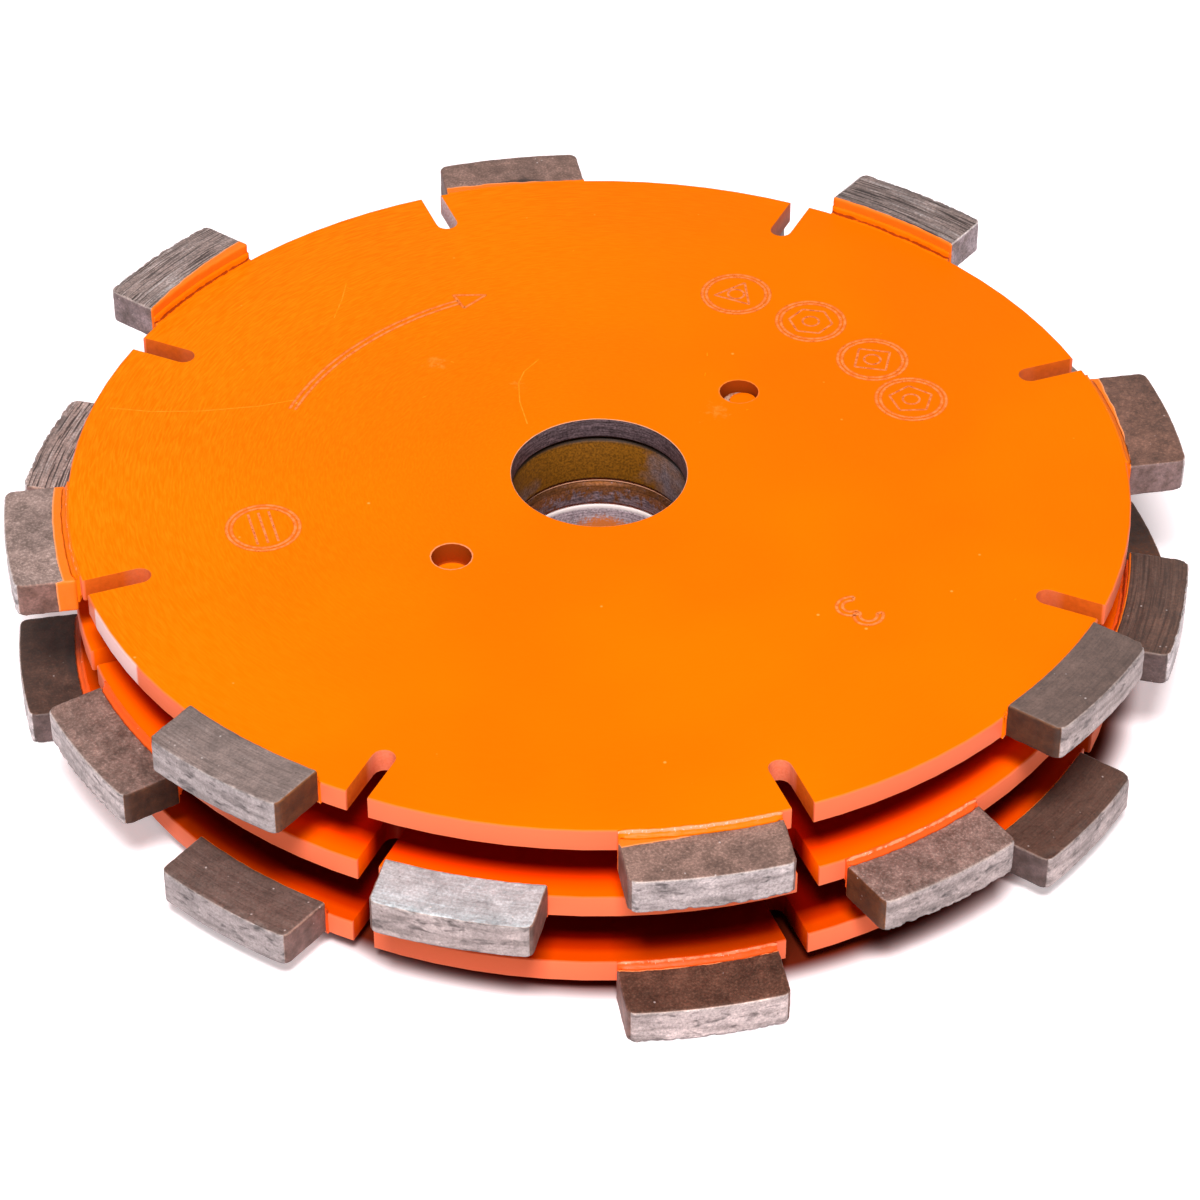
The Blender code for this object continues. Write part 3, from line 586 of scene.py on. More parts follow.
def steelMaterial():
    look = steelLook
    material, tree, shader = startMaterial("turnedSpacerSteel", **{"Specular IOR Level": 0.2})
    place = placeInMm(tree)
    level = addNode(tree, "ShaderNodeSeparateXYZ", {0: place}).outputs["Z"]
    rings = addNode(tree, "ShaderNodeMapping",
                    {"Vector": place, "Scale": (0.12, 0.12, 1 / look["turning"])})
    ring = addNode(tree, "ShaderNodeTexNoise", {"Vector": rings, "Scale": 1.0, "Detail": 2.0})
    ringTone = addNode(tree, "ShaderNodeMapRange", {0: ring, 1: 0.35, 2: 0.65, 3: 0.0, 4: 1.0})
    steel = addNode(tree, "ShaderNodeMix",
                    {0: ringTone, 6: hexColour(look["steel"]), 7: hexColour(look["light"])},
                    data_type="RGBA")
    patches = addNode(tree, "ShaderNodeTexNoise", {"Vector": place, "Scale": 0.14, "Detail": 5.0})
    height = addNode(tree, "ShaderNodeMapRange", {0: level, 1: 12.5, 2: 16.3, 3: -0.3, 4: 0.2})
    filmEdge = addNode(tree, "ShaderNodeMath", {0: patches, 1: height}, operation="ADD")
    aside = addNode(tree, "ShaderNodeSeparateXYZ", {0: place}).outputs["X"]
    aside = addNode(tree, "ShaderNodeMapRange", {0: aside, 1: 3.0, 2: 9.0, 3: 0.0, 4: -0.16})
    filmEdge = addNode(tree, "ShaderNodeMath", {0: filmEdge, 1: aside}, operation="ADD")
    film = addNode(tree, "ShaderNodeMapRange", {0: filmEdge, 1: 0.42, 2: 0.60, 3: 0.0, 4: 1.0})
    worn = addNode(tree, "ShaderNodeMapRange", {0: level, 1: 15.0, 2: 16.3, 3: 1.0, 4: 0.5})
    steel = addNode(tree, "ShaderNodeVectorMath", {0: steel, "Scale": worn}, operation="SCALE")
    colour = addNode(tree, "ShaderNodeMix",
                     {0: film, 6: steel, 7: hexColour(look["film"])}, data_type="RGBA")
    grit = addNode(tree, "ShaderNodeTexNoise", {"Vector": place, "Scale": 3.5, "Detail": 3.0})
    speckle = addNode(tree, "ShaderNodeMapRange", {0: grit, 1: 0.35, 2: 0.65, 3: 0.6, 4: 1.35})
    colour = addNode(tree, "ShaderNodeVectorMath", {0: colour, "Scale": speckle}, operation="SCALE")
    topShade = addNode(tree, "ShaderNodeMapRange", {0: level, 1: 22.3, 2: 22.5, 3: 1.0, 4: 0.55})
    colour = addNode(tree, "ShaderNodeVectorMath", {0: colour, "Scale": topShade}, operation="SCALE")
    # painted shadow: a black line in the upper joint
    jointShadow = addNode(tree, "ShaderNodeMapRange",
                    {0: level, 1: look["jointShadowFrom"], 2: look["jointShadowFrom"] + 0.15, 3: 0.0, 4: 0.85})
    colour = addNode(tree, "ShaderNodeMix",
                     {0: jointShadow, 6: colour, 7: hexColour(look["jointShadow"])}, data_type="RGBA")
    # painted highlight: a near-white band on the lower spacer's chamfer
    chamferHighlight = addNode(tree, "ShaderNodeMapRange", {0: level, 1: 11.5, 2: 11.9, 3: 0.0, 4: 0.95})
    below = addNode(tree, "ShaderNodeMath", {0: level, 1: 13.0}, operation="LESS_THAN")
    chamferHighlight = addNode(tree, "ShaderNodeMath", {0: chamferHighlight, 1: below}, operation="MULTIPLY")
    colour = addNode(tree, "ShaderNodeMix", {0: chamferHighlight, 6: colour, 7: hexColour(look["chamfer"])},
                     data_type="RGBA")
    # painted reflection: an orange patch low in the bore
    offset = addNode(tree, "ShaderNodeVectorMath", {0: place, 1: look["reflectionPlace"]}, operation="SUBTRACT")
    offset = addNode(tree, "ShaderNodeVectorMath", {0: offset, 1: look["reflectionSize"]}, operation="DIVIDE")
    offset = addNode(tree, "ShaderNodeVectorMath", {0: offset}, operation="LENGTH")
    fray = addNode(tree, "ShaderNodeMath", {0: grit, 1: 1.6, 2: offset.outputs["Value"]},
                   operation="MULTIPLY_ADD")
    glow = addNode(tree, "ShaderNodeMapRange", {0: fray, 1: 1.95, 2: 1.35, 3: 0.0, 4: 0.9})
    colour = addNode(tree, "ShaderNodeMix",
                     {0: glow, 6: colour, 7: hexColour(look["glow"])}, data_type="RGBA")
    tree.links.new(colour.outputs[2], shader.inputs["Base Color"])
    plain = addNode(tree, "ShaderNodeMath", {0: 1.0, 1: film}, operation="SUBTRACT")
    metal = addNode(tree, "ShaderNodeMapRange", {0: chamferHighlight, 1: 0.0, 2: 0.6, 3: 0.3, 4: 0.0})
    metal = addNode(tree, "ShaderNodeMath", {0: metal, 1: plain}, operation="MULTIPLY")
    tree.links.new(metal.outputs[0], shader.inputs["Metallic"])
    rough = addNode(tree, "ShaderNodeMapRange",
                    {0: patches, 1: 0.3, 2: 0.7, 3: look["roughness"], 4: look["roughness"] + 0.15})
    tree.links.new(rough.outputs[0], shader.inputs["Roughness"])
    bump = addNode(tree, "ShaderNodeBump", {"Strength": 0.4, "Distance": 0.03 * mm, "Height": ring})
    tree.links.new(bump.outputs[0], shader.inputs["Normal"])
    return material


# lines burnt through the enamel by a marking laser: pale, dull, with dark specks of burnt paint
markLook = {"line": "#F87A36", "pale": "#FF9252", "burnt": "#D06424"}
edgeLook = {"line": "#E86818", "pale": "#F47820", "burnt": "#CC560E"}
figureLook = {"line": "#E2703C", "pale": "#FC9058", "burnt": "#8A4634"}
scuffLook = {"line": "#FF8E12", "pale": "#FF9E2C", "burnt": "#FF8A0C"}      # scratches that dull the paint


def markMaterial(name, look):
    material, tree, shader = startMaterial(name, **{"Specular IOR Level": 0.02, "Roughness": 0.7})
    place = placeInMm(tree)
    tone = addNode(tree, "ShaderNodeTexNoise", {"Vector": place, "Scale": 1.4, "Detail": 3.0})
    paleTone = addNode(tree, "ShaderNodeMapRange", {0: tone, 1: 0.4, 2: 0.6, 3: 0.0, 4: 1.0})
    colour = addNode(tree, "ShaderNodeMix",
                     {0: paleTone, 6: hexColour(look["line"]), 7: hexColour(look["pale"])},
                     data_type="RGBA")
    specks = addNode(tree, "ShaderNodeTexNoise", {"Vector": place, "Scale": 4.0, "Detail": 2.0})
    burnt = addNode(tree, "ShaderNodeMapRange", {0: specks, 1: 0.58, 2: 0.72, 3: 0.0, 4: 0.8})
    colour = addNode(tree, "ShaderNodeMix",
                     {0: burnt, 6: colour, 7: hexColour(look["burnt"])}, data_type="RGBA")
    tree.links.new(colour.outputs[2], shader.inputs["Base Color"])
    return material


materials = {
    "enamel": enamelMaterial("sprayedOrangeEnamel", enamelLook["faceGloss"]),
    "wallEnamel": enamelMaterial("enamelOnCutEdges", enamelLook["wallGloss"]),
    "coat": coatMaterial(),
    "sinter": sinterMaterial(),
    "steel": steelMaterial(),
    "mark": markMaterial("laserBurntLine", markLook),
    "markEdge": markMaterial("burntEdge", edgeLook),
    "figure": markMaterial("deepBurntLine", figureLook),
    "scuff": markMaterial("scuffedEnamel", scuffLook),
}
print("materials made:", len(materials))


def discOf(node):
    return node.split("_")[0]


def midLevel(node):
    low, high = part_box(node)
    return (low.z + high.z) / 2


# finish copies of the CAD's turned parts: the same solids, merged, with their sharp edges broken
finishCut = {"core": 0.12, "spacer": 0.1, "pin": 0.25, "sharp": 40.0}   # mm, mm, mm, degrees


def finishCopy(node, edge, material, slot):
    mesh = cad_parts[node].data.copy()
    mesh.name = node + "_finish"
    piece = addObject(mesh.name, mesh)
    shape = bmesh.new()
    shape.from_mesh(mesh)
    bmesh.ops.remove_doubles(shape, verts=shape.verts, dist=0.01 * mm)
    bmesh.ops.dissolve_limit(shape, angle_limit=math.radians(0.5), verts=shape.verts, edges=shape.edges)
    sharp = [e for e in shape.edges
             if len(e.link_faces) == 2 and e.calc_face_angle() > math.radians(finishCut["sharp"])]
    bmesh.ops.bevel(shape, geom=sharp, offset=edge * mm, segments=2, profile=0.5, affect="EDGES",
                    clamp_overlap=True)
    bmesh.ops.triangulate(shape, faces=shape.faces)
    for face in shape.faces:
        face.smooth = True
    for line in shape.edges:
        level = [abs(face.normal.z) > 0.999 for face in line.link_faces]
        line.smooth = level[0] == level[-1] and line.calc_face_angle(0.0) < math.radians(50)
    shape.to_mesh(mesh)
    shape.free()
    mesh.materials.clear()
    mesh.materials.append(material)
    dress(piece, slot, node)
    return piece


def storeDiscPlace(piece, own):
    place = piece.data.attributes.new("discPlace", "FLOAT_VECTOR", "POINT")
    for vertex in piece.data.vertices:
        place.data[vertex.index].vector = own @ vertex.co / mm


def makeCore(disc):
    node = disc + "_core"
    piece = finishCopy(node, finishCut["core"], materials["enamel"], "orange_paint")
    piece.data.materials.append(materials["wallEnamel"])
    for face in piece.data.polygons:
        face.material_index = 1 if abs(face.normal.z) < 0.9 else 0
    over = disc in layout["turnedOver"]
    turn = math.radians(layout["slotAngleTurned"] if over else layout["slotAngle"])
    hand = -1.0 if over else 1.0
    own = Matrix.Diagonal((1, hand, hand, 1)) @ Matrix.Rotation(-turn, 4, "Z")
    storeDiscPlace(piece, own @ Matrix.Translation((0, 0, -midLevel(node))))


for disc in layout["discs"]:
    makeCore(disc)
for node in ("upper_spacer", "lower_spacer"):
    finishCopy(node, finishCut["spacer"], materials["steel"], "spacer_steel")
for node in ("locating_pin_1", "locating_pin_2"):
    pin = finishCopy(node, finishCut["pin"], materials["enamel"], "orange_paint")
    storeDiscPlace(pin, Matrix.Identity(4))
print("cores, spacers and pins finished")


# a segment: a block with broken edges and rounder crown corners, bent to the rim, ground and crumbled
segmentSize = {
    "Length": 19.6, "Depth": 7.7, "Thickness": 5.0, "Foot Radius": 67.3,
    "Edge": 0.42, "Corner": 1.15,
    "Furrow": 0.10, "Crumble": 0.3, "Unevenness": 0.2,    # mm, how deep each kind of wear goes
    "Roughened": 0.45,                                      # 0 to 1, how strongly the furrows show
    "Paint By Slot": 0.15, "Paint Far": 0.25, "Paint On Ends": 0.2,     # mm of root under enamel
    "Waviness": 0.7,                                        # mm, of the painted root's edge
    "Burn": 0.0,                                            # 0 to 1, a burnt stain at the joint
    "Tone": 1.0, "Crown Tone": 1.0, "End Tone": 1.0,        # how light its sides, crown and ends are
    "Warmth": 0.0, "Crown Warmth": 0.0, "End Warmth": 0.0,  # and how brown
    "Seed": 0.0, "Side": 1.0, "Hand": 1.0, "Angle": 0.0, "Level": 0.0,
}
segmentSteps = (66, 27, 18)     # points along, outward and across
shades = {      # how light and how brown a face is, as rough grades; besides the faces' own tone they hold painted shade on faces in shadow or turned from the lamp, and a painted sheen in the brightest
    "polishedSheen": (1.3, -1.0), "glint": (1.25, -0.2), "light": (1.0, 0.0), "pressed": (0.85, 0.2),
    "grey": (0.76, 0.1), "tan": (0.78, 0.4), "tinted": (0.78, 0.8), "dull": (0.68, 0.2),
    "heated": (0.6, 0.7), "slate": (0.58, 0.1), "brown": (0.5, 0.8), "umber": (0.36, 0.95),
    "dark": (0.36, 0.4), "rustAndShade": (0.33, 1.6), "sootAndShade": (0.26, 0.85), "scorchAndShade": (0.2, 1.5),
}
segmentFinish = {       # no two segments were ground, masked and darkened alike; shades of side, crown, end
    "top_segment_1": {"Furrow": 0.14, "Roughened": 1.0, "Crumble": 0.25, "Paint By Slot": 0.3,
                      "Paint Far": 1.5, "shades": ("grey", "light", "grey")},
    "top_segment_2": {"Burn": 1.0, "Paint By Slot": 2.0, "Paint Far": 0.3,
                      "shades": ("tan", "light", "heated")},
    "top_segment_3": {"Furrow": 0.14, "Roughened": 1.0, "Crumble": 0.2, "Paint By Slot": 0.3,
                      "Paint Far": 0.3, "shades": ("slate", "light", "glint")},
    "top_segment_4": {"Paint By Slot": 1.3, "Paint Far": 0.3, "shades": ("brown", "light", "tan")},
    "top_segment_5": {"Furrow": 0.06, "Roughened": 0.15, "Paint By Slot": 0.0, "Paint Far": 0.1,
                      "shades": ("dark", "dull", "scorchAndShade")},
    "top_segment_6": {"Paint By Slot": -1.2, "Paint Far": 1.8, "Paint On Ends": 1.1,
                      "shades": ("tan", "grey", "heated")},
    "top_segment_7": {"Furrow": 0.06, "Roughened": 0.25, "Paint By Slot": 0.1, "Paint Far": 0.1,
                      "shades": ("slate", "slate", "rustAndShade")},
    "top_segment_8": {"Paint By Slot": 1.7, "Paint Far": 1.5, "Paint On Ends": 2.6, "Waviness": 0.3,
                      "shades": ("light", "light", "tinted")},
    "middle_segment_1": {"Paint By Slot": 0.0, "Paint Far": 0.1, "shades": ("grey", "dull", "rustAndShade")},
    "middle_segment_2": {"Furrow": 0.08, "Roughened": 0.5, "shades": ("sootAndShade", "light", "dark")},
    "middle_segment_6": {"Furrow": 0.14, "Roughened": 1.0, "Crumble": 0.4},
    "middle_segment_7": {"Paint By Slot": 0.3, "Paint Far": 0.3, "shades": ("dull", "grey", "scorchAndShade")},
    "middle_segment_8": {"Furrow": 0.05, "Roughened": 0.15, "Paint By Slot": 0.3, "Paint Far": 0.0,
                         "shades": ("polishedSheen", "dull", "brown")},
    "bottom_segment_4": {"shades": ("scorchAndShade", "light", "heated")},
    "bottom_segment_5": {"Furrow": 0.06, "Roughened": 0.2, "shades": ("sootAndShade", "dull", "dark")},
    "bottom_segment_6": {"Paint By Slot": 0.5, "Paint Far": 0.6, "shades": ("umber", "pressed", "heated")},
    "bottom_segment_7": {"Furrow": 0.06, "Roughened": 0.2, "shades": ("dark", "slate", "heated")},
    "bottom_segment_8": {"Burn": 0.6, "shades": ("sootAndShade", "light", "dark")},
}


def segmentTree(material):
    tree, given = startGrowth("pressedSegment", segmentSize)
    size = addNode(tree, "ShaderNodeCombineXYZ",
                   {0: given["Length"], 1: given["Depth"], 2: given["Thickness"]})
    block = addNode(tree, "GeometryNodeMeshCube",
                    dict(zip(("Vertices X", "Vertices Y", "Vertices Z"), segmentSteps)))
    position = addNode(tree, "GeometryNodeInputPosition")
    point = addNode(tree, "ShaderNodeVectorMath", {0: position, 1: size}, operation="MULTIPLY")

    # broken edges: the surface stands one edge radius off an inner block
    edge = addNode(tree, "ShaderNodeCombineXYZ", {0: given["Edge"], 1: given["Edge"], 2: given["Edge"]})
    half = addNode(tree, "ShaderNodeVectorMath", {0: size, "Scale": 0.5}, operation="SCALE")
    high = addNode(tree, "ShaderNodeVectorMath", {0: half, 1: edge}, operation="SUBTRACT")
    low = addNode(tree, "ShaderNodeVectorMath", {0: high, "Scale": -1.0}, operation="SCALE")
    core = addNode(tree, "ShaderNodeVectorMath", {0: point, 1: high}, operation="MINIMUM")
    core = addNode(tree, "ShaderNodeVectorMath", {0: core, 1: low}, operation="MAXIMUM")
    away = addNode(tree, "ShaderNodeVectorMath", {0: point, 1: core}, operation="SUBTRACT")
    facing = addNode(tree, "ShaderNodeVectorMath", {0: away}, operation="NORMALIZE")
    rounded = addNode(tree, "ShaderNodeVectorMath", {0: facing, 1: edge, 2: core}, operation="MULTIPLY_ADD")

    # rounder corners where the crown meets the ends
    corner = addNode(tree, "ShaderNodeCombineXYZ", {0: given["Corner"], 1: given["Corner"], 2: -100.0})
    cornerHigh = addNode(tree, "ShaderNodeVectorMath", {0: half, 1: corner}, operation="SUBTRACT")
    cornerLow = addNode(tree, "ShaderNodeVectorMath", {0: cornerHigh, 1: (-1.0, -1000.0, -1.0)},
                        operation="MULTIPLY")
    inner = addNode(tree, "ShaderNodeVectorMath", {0: rounded, 1: cornerHigh}, operation="MINIMUM")
    inner = addNode(tree, "ShaderNodeVectorMath", {0: inner, 1: cornerLow}, operation="MAXIMUM")
    out = addNode(tree, "ShaderNodeVectorMath", {0: rounded, 1: inner}, operation="SUBTRACT")
    reach = addNode(tree, "ShaderNodeVectorMath", {0: out}, operation="LENGTH").outputs["Value"]
    parts = addNode(tree, "ShaderNodeSeparateXYZ", {0: addNode(tree, "ShaderNodeVectorMath", {0: out},
                                                              operation="ABSOLUTE")})
    most = addNode(tree, "ShaderNodeMath", {0: parts.outputs[0], 1: parts.outputs[1]}, operation="MAXIMUM")
    factor = addNode(tree, "ShaderNodeMath", {0: most, 1: reach}, operation="DIVIDE")
    pulled = addNode(tree, "ShaderNodeVectorMath", {0: out, "Scale": factor}, operation="SCALE")
    shaped = addNode(tree, "ShaderNodeVectorMath", {0: inner, 1: pulled}, operation="ADD")

    # the segment's own coordinates, in mm: along from the slot, outward from the foot, up to the outer side
    footLift = addNode(tree, "ShaderNodeMath", {0: given["Depth"], 1: 0.5}, operation="MULTIPLY")
    footLift = addNode(tree, "ShaderNodeCombineXYZ", {1: footLift})
    lifted = addNode(tree, "ShaderNodeVectorMath", {0: shaped, 1: footLift}, operation="ADD")
    flip = addNode(tree, "ShaderNodeCombineXYZ", {0: given["Hand"], 1: 1.0, 2: given["Side"]})
    local = addNode(tree, "ShaderNodeVectorMath", {0: lifted, 1: flip}, operation="MULTIPLY")
    ownFacing = addNode(tree, "ShaderNodeVectorMath", {0: facing, 1: flip}, operation="MULTIPLY")
    where = addNode(tree, "ShaderNodeSeparateXYZ", {0: local})
    look = addNode(tree, "ShaderNodeSeparateXYZ", {0: ownFacing})

    # wear: furrows on the outer side, crumbled edge between it and the crown, slight unevenness all over
    furrowPlace = addNode(tree, "ShaderNodeVectorMath",
                          {0: local, 1: (0.16, 1.5, 1.5)}, operation="MULTIPLY")
    furrowNoise = addNode(tree, "ShaderNodeTexNoise",
                          {"Vector": furrowPlace, "W": given["Seed"], "Scale": 1.0, "Detail": 3.0},
                          noise_dimensions="4D")
    furrowShape = addNode(tree, "ShaderNodeMapRange", {0: furrowNoise, 1: 0.62, 2: 0.40, 3: 0.0, 4: 1.0})
    onOuter = addNode(tree, "ShaderNodeMapRange", {0: look.outputs["Z"], 1: 0.3, 2: 0.8, 3: 0.0, 4: 1.0})
    offFoot = addNode(tree, "ShaderNodeMapRange", {0: where.outputs["Y"], 1: 1.2, 2: 2.6, 3: 0.15, 4: 1.0})
    furrow = addNode(tree, "ShaderNodeMath", {0: furrowShape, 1: onOuter}, operation="MULTIPLY")
    furrow = addNode(tree, "ShaderNodeMath", {0: furrow, 1: offFoot}, operation="MULTIPLY")
    furrow = addNode(tree, "ShaderNodeMath", {0: furrow, 1: given["Furrow"]}, operation="MULTIPLY")
    chipNoise = addNode(tree, "ShaderNodeTexNoise",
                        {"Vector": local, "W": given["Seed"], "Scale": 0.9, "Detail": 3.0, "Roughness": 0.6},
                        noise_dimensions="4D")
    chipShape = addNode(tree, "ShaderNodeMapRange", {0: chipNoise, 1: 0.47, 2: 0.68, 3: 0.0, 4: 1.0})
    toCrown = addNode(tree, "ShaderNodeMath",
                      {0: given["Depth"], 1: where.outputs["Y"]}, operation="SUBTRACT")
    nearCrown = addNode(tree, "ShaderNodeMapRange", {0: toCrown, 1: 1.5, 2: 0.1, 3: 0.0, 4: 1.0})
    halfThick = addNode(tree, "ShaderNodeMath", {0: given["Thickness"], 1: 0.5}, operation="MULTIPLY")
    toOuter = addNode(tree, "ShaderNodeMath", {0: halfThick, 1: where.outputs["Z"]}, operation="SUBTRACT")
    nearOuter = addNode(tree, "ShaderNodeMapRange", {0: toOuter, 1: 1.3, 2: 0.1, 3: 0.0, 4: 1.0})
    chip = addNode(tree, "ShaderNodeMath", {0: nearCrown, 1: nearOuter}, operation="MULTIPLY")
    chip = addNode(tree, "ShaderNodeMath", {0: chip, 1: chipShape}, operation="MULTIPLY")
    chip = addNode(tree, "ShaderNodeMath", {0: chip, 1: given["Crumble"]}, operation="MULTIPLY")
    uneven = addNode(tree, "ShaderNodeMath", {0: chipNoise, 1: given["Unevenness"]}, operation="MULTIPLY")
    depth = addNode(tree, "ShaderNodeMath", {0: furrow, 1: chip}, operation="ADD")
    sunk = addNode(tree, "ShaderNodeMath", {0: depth, 1: uneven}, operation="ADD")
    sunkBack = addNode(tree, "ShaderNodeMath", {0: sunk, 1: -1.0}, operation="MULTIPLY")
    wear = addNode(tree, "ShaderNodeVectorMath", {0: facing, "Scale": sunkBack}, operation="SCALE")
    worn = addNode(tree, "ShaderNodeVectorMath", {0: lifted, 1: wear}, operation="ADD")

    # how far inside the painted root a point is, in mm: a wedge on the sides, a strip on the ends
    wedge = addNode(tree, "ShaderNodeMapRange",
                    {0: where.outputs["X"], 1: -9.8, 2: 9.8, 3: given["Paint By Slot"],
                     4: given["Paint Far"]})
    waveNoise = addNode(tree, "ShaderNodeTexNoise",
                        {"Vector": local, "W": given["Seed"], "Scale": 0.35, "Detail": 2.0},
                        noise_dimensions="4D")
    wave = addNode(tree, "ShaderNodeMath", {0: waveNoise, 1: -0.5}, operation="ADD")
    wave = addNode(tree, "ShaderNodeMath", {0: wave, 1: given["Waviness"]}, operation="MULTIPLY")
    alongFacing = addNode(tree, "ShaderNodeMath", {0: look.outputs["X"]}, operation="ABSOLUTE")
    onEnd = addNode(tree, "ShaderNodeMath", {0: alongFacing, 1: 0.6}, operation="GREATER_THAN")
    limit = addNode(tree, "ShaderNodeMix",
                    {0: onEnd, 2: wedge, 3: given["Paint On Ends"]}, data_type="FLOAT")
    limit = addNode(tree, "ShaderNodeMath", {0: limit, 1: wave}, operation="ADD")
    rootPaint = addNode(tree, "ShaderNodeMath", {0: limit, 1: where.outputs["Y"]}, operation="SUBTRACT")
    onFoot = addNode(tree, "ShaderNodeMapRange", {0: look.outputs["Y"], 1: -0.3, 2: -0.7, 3: 0.0, 4: 3.0})
    rootPaint = addNode(tree, "ShaderNodeMath", {0: rootPaint, 1: onFoot}, operation="ADD")

    # how light and how brown each face is, and the stain
    onCrown = addNode(tree, "ShaderNodeMath", {0: look.outputs["Y"], 1: 0.6}, operation="GREATER_THAN")
    here = {}
    for what in ("Tone", "Warmth"):
        here[what] = addNode(tree, "ShaderNodeMix", {0: onCrown, 2: given[what], 3: given["Crown " + what]},
                             data_type="FLOAT")
        here[what] = addNode(tree, "ShaderNodeMix", {0: onEnd, 2: here[what], 3: given["End " + what]},
                             data_type="FLOAT")
    fromMiddle = addNode(tree, "ShaderNodeMath", {0: where.outputs["X"]}, operation="ABSOLUTE")
    stain = addNode(tree, "ShaderNodeMapRange", {0: fromMiddle, 1: 5.0, 2: 2.0, 3: 0.0, 4: 1.3})
    stainDepth = addNode(tree, "ShaderNodeMath", {0: wave, 1: 2.0, 2: where.outputs["Y"]},
                         operation="MULTIPLY_ADD")
    stainEdge = addNode(tree, "ShaderNodeMapRange", {0: stainDepth, 1: 1.9, 2: 1.3, 3: 0.0, 4: 1.0})
    stain = addNode(tree, "ShaderNodeMath", {0: stain, 1: stainEdge}, operation="MULTIPLY")
    stain = addNode(tree, "ShaderNodeMath",
                    {0: stain, 1: given["Burn"]}, operation="MULTIPLY", use_clamp=True)

    # bent to the rim: outward becomes a radius, the ends stay parallel
    bent = addNode(tree, "ShaderNodeSeparateXYZ", {0: worn})
    reachOut = addNode(tree, "ShaderNodeMath",
                       {0: bent.outputs[1], 1: given["Foot Radius"]}, operation="ADD")
    square = addNode(tree, "ShaderNodeMath", {0: reachOut, 1: 2.0}, operation="POWER")
    alongSquare = addNode(tree, "ShaderNodeMath",
                          {0: bent.outputs[0], 1: bent.outputs[0]}, operation="MULTIPLY")
    rest = addNode(tree, "ShaderNodeMath", {0: square, 1: alongSquare}, operation="SUBTRACT")
    outward = addNode(tree, "ShaderNodeMath", {0: rest}, operation="SQRT")
    final = addNode(tree, "ShaderNodeCombineXYZ", {0: bent.outputs[0], 1: outward, 2: bent.outputs[2]})

    # all attributes are taken from the plain block, so they are stored before the points move
    geometry = block
    for name, kind, value in (("local", "FLOAT_VECTOR", local), ("facing", "FLOAT_VECTOR", ownFacing),
                              ("relief", "FLOAT", depth), ("seed", "FLOAT", given["Seed"]),
                              ("rootPaint", "FLOAT", rootPaint), ("tone", "FLOAT", here["Tone"]),
                              ("warmth", "FLOAT", here["Warmth"]), ("burnt", "FLOAT", stain),
                              ("roughened", "FLOAT", given["Roughened"])):
        geometry = addNode(tree, "GeometryNodeStoreNamedAttribute",
                           {"Geometry": geometry, "Name": name, "Value": value},
                           data_type=kind, domain="POINT")
    geometry = addNode(tree, "GeometryNodeSetPosition", {"Geometry": geometry, "Position": final})
    turn = addNode(tree, "ShaderNodeCombineXYZ", {2: given["Angle"]})
    lift = addNode(tree, "ShaderNodeCombineXYZ", {2: given["Level"]})
    geometry = addNode(tree, "GeometryNodeTransform",
                       {"Geometry": geometry, "Translation": lift, "Rotation": turn, "Scale": (mm, mm, mm)})
    geometry = addNode(tree, "GeometryNodeSetShadeSmooth", {"Geometry": geometry})
    geometry = addNode(tree, "GeometryNodeRealizeInstances", {"Geometry": geometry})
    geometry = addNode(tree, "GeometryNodeSetMaterial", {"Geometry": geometry, "Material": material})
    addNode(tree, "NodeGroupOutput", {0: geometry})
    return tree


def growMesh(name, tree, values, source=None):
    holder = source or addObject(name + "_holder", bpy.data.meshes.new(name + "_holder"))
    modifier = holder.modifiers.new("nodes", "NODES")
    modifier.node_group = tree
    sockets = {item.name: item.identifier for item in tree.interface.items_tree if item.in_out == "INPUT"}
    for key, value in values.items():
        modifier[sockets[key]] = value
    graph = bpy.context.evaluated_depsgraph_get()
    mesh = bpy.data.meshes.new_from_object(holder.evaluated_get(graph), preserve_all_data_layers=True,
                                           depsgraph=graph)
    mesh.name = name
    holder.modifiers.remove(modifier)
    bpy.data.objects.remove(holder)
    return addObject(name, mesh)


def segmentPlace(node):
    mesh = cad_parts[node].data
    total = sum(p.area for p in mesh.polygons)
    centre = sum((p.center * p.area for p in mesh.polygons), Vector()) / total
    coreLevel = midLevel(discOf(node) + "_core")
    level = midLevel(node)
    side = 1.0 if level > coreLevel else -1.0
    hand = -1.0 if discOf(node) in layout["turnedOver"] else 1.0
    return {"angle": math.atan2(centre.y, centre.x), "level": level, "side": side, "hand": hand,
            "coreLevel": coreLevel}


def finishOf(node):
    finish = dict(segmentFinish.get(node, {}))
    for face, shade in zip(("", "Crown ", "End "), finish.pop("shades", ("pressed", "light", "heated"))):
        finish[face + "Tone"], finish[face + "Warmth"] = shades[shade]
    return finish


segmentNodes = [f"{disc}_segment_{i + 1}" for disc in layout["discs"] for i in range(layout["slots"])]
pressedSegment = segmentTree(materials["sinter"])
for count, node in enumerate(segmentNodes):
    place = segmentPlace(node)
    piece = growMesh(node + "_worn", pressedSegment, {
        "Angle": place["angle"] - math.pi / 2, "Level": place["level"], "Side": place["side"],
        "Hand": place["hand"], "Seed": 7.3 * count + 1.0, **finishOf(node),
    })
    dress(piece, "sintered_segment", node)
print("segments grown:", len(segmentNodes))


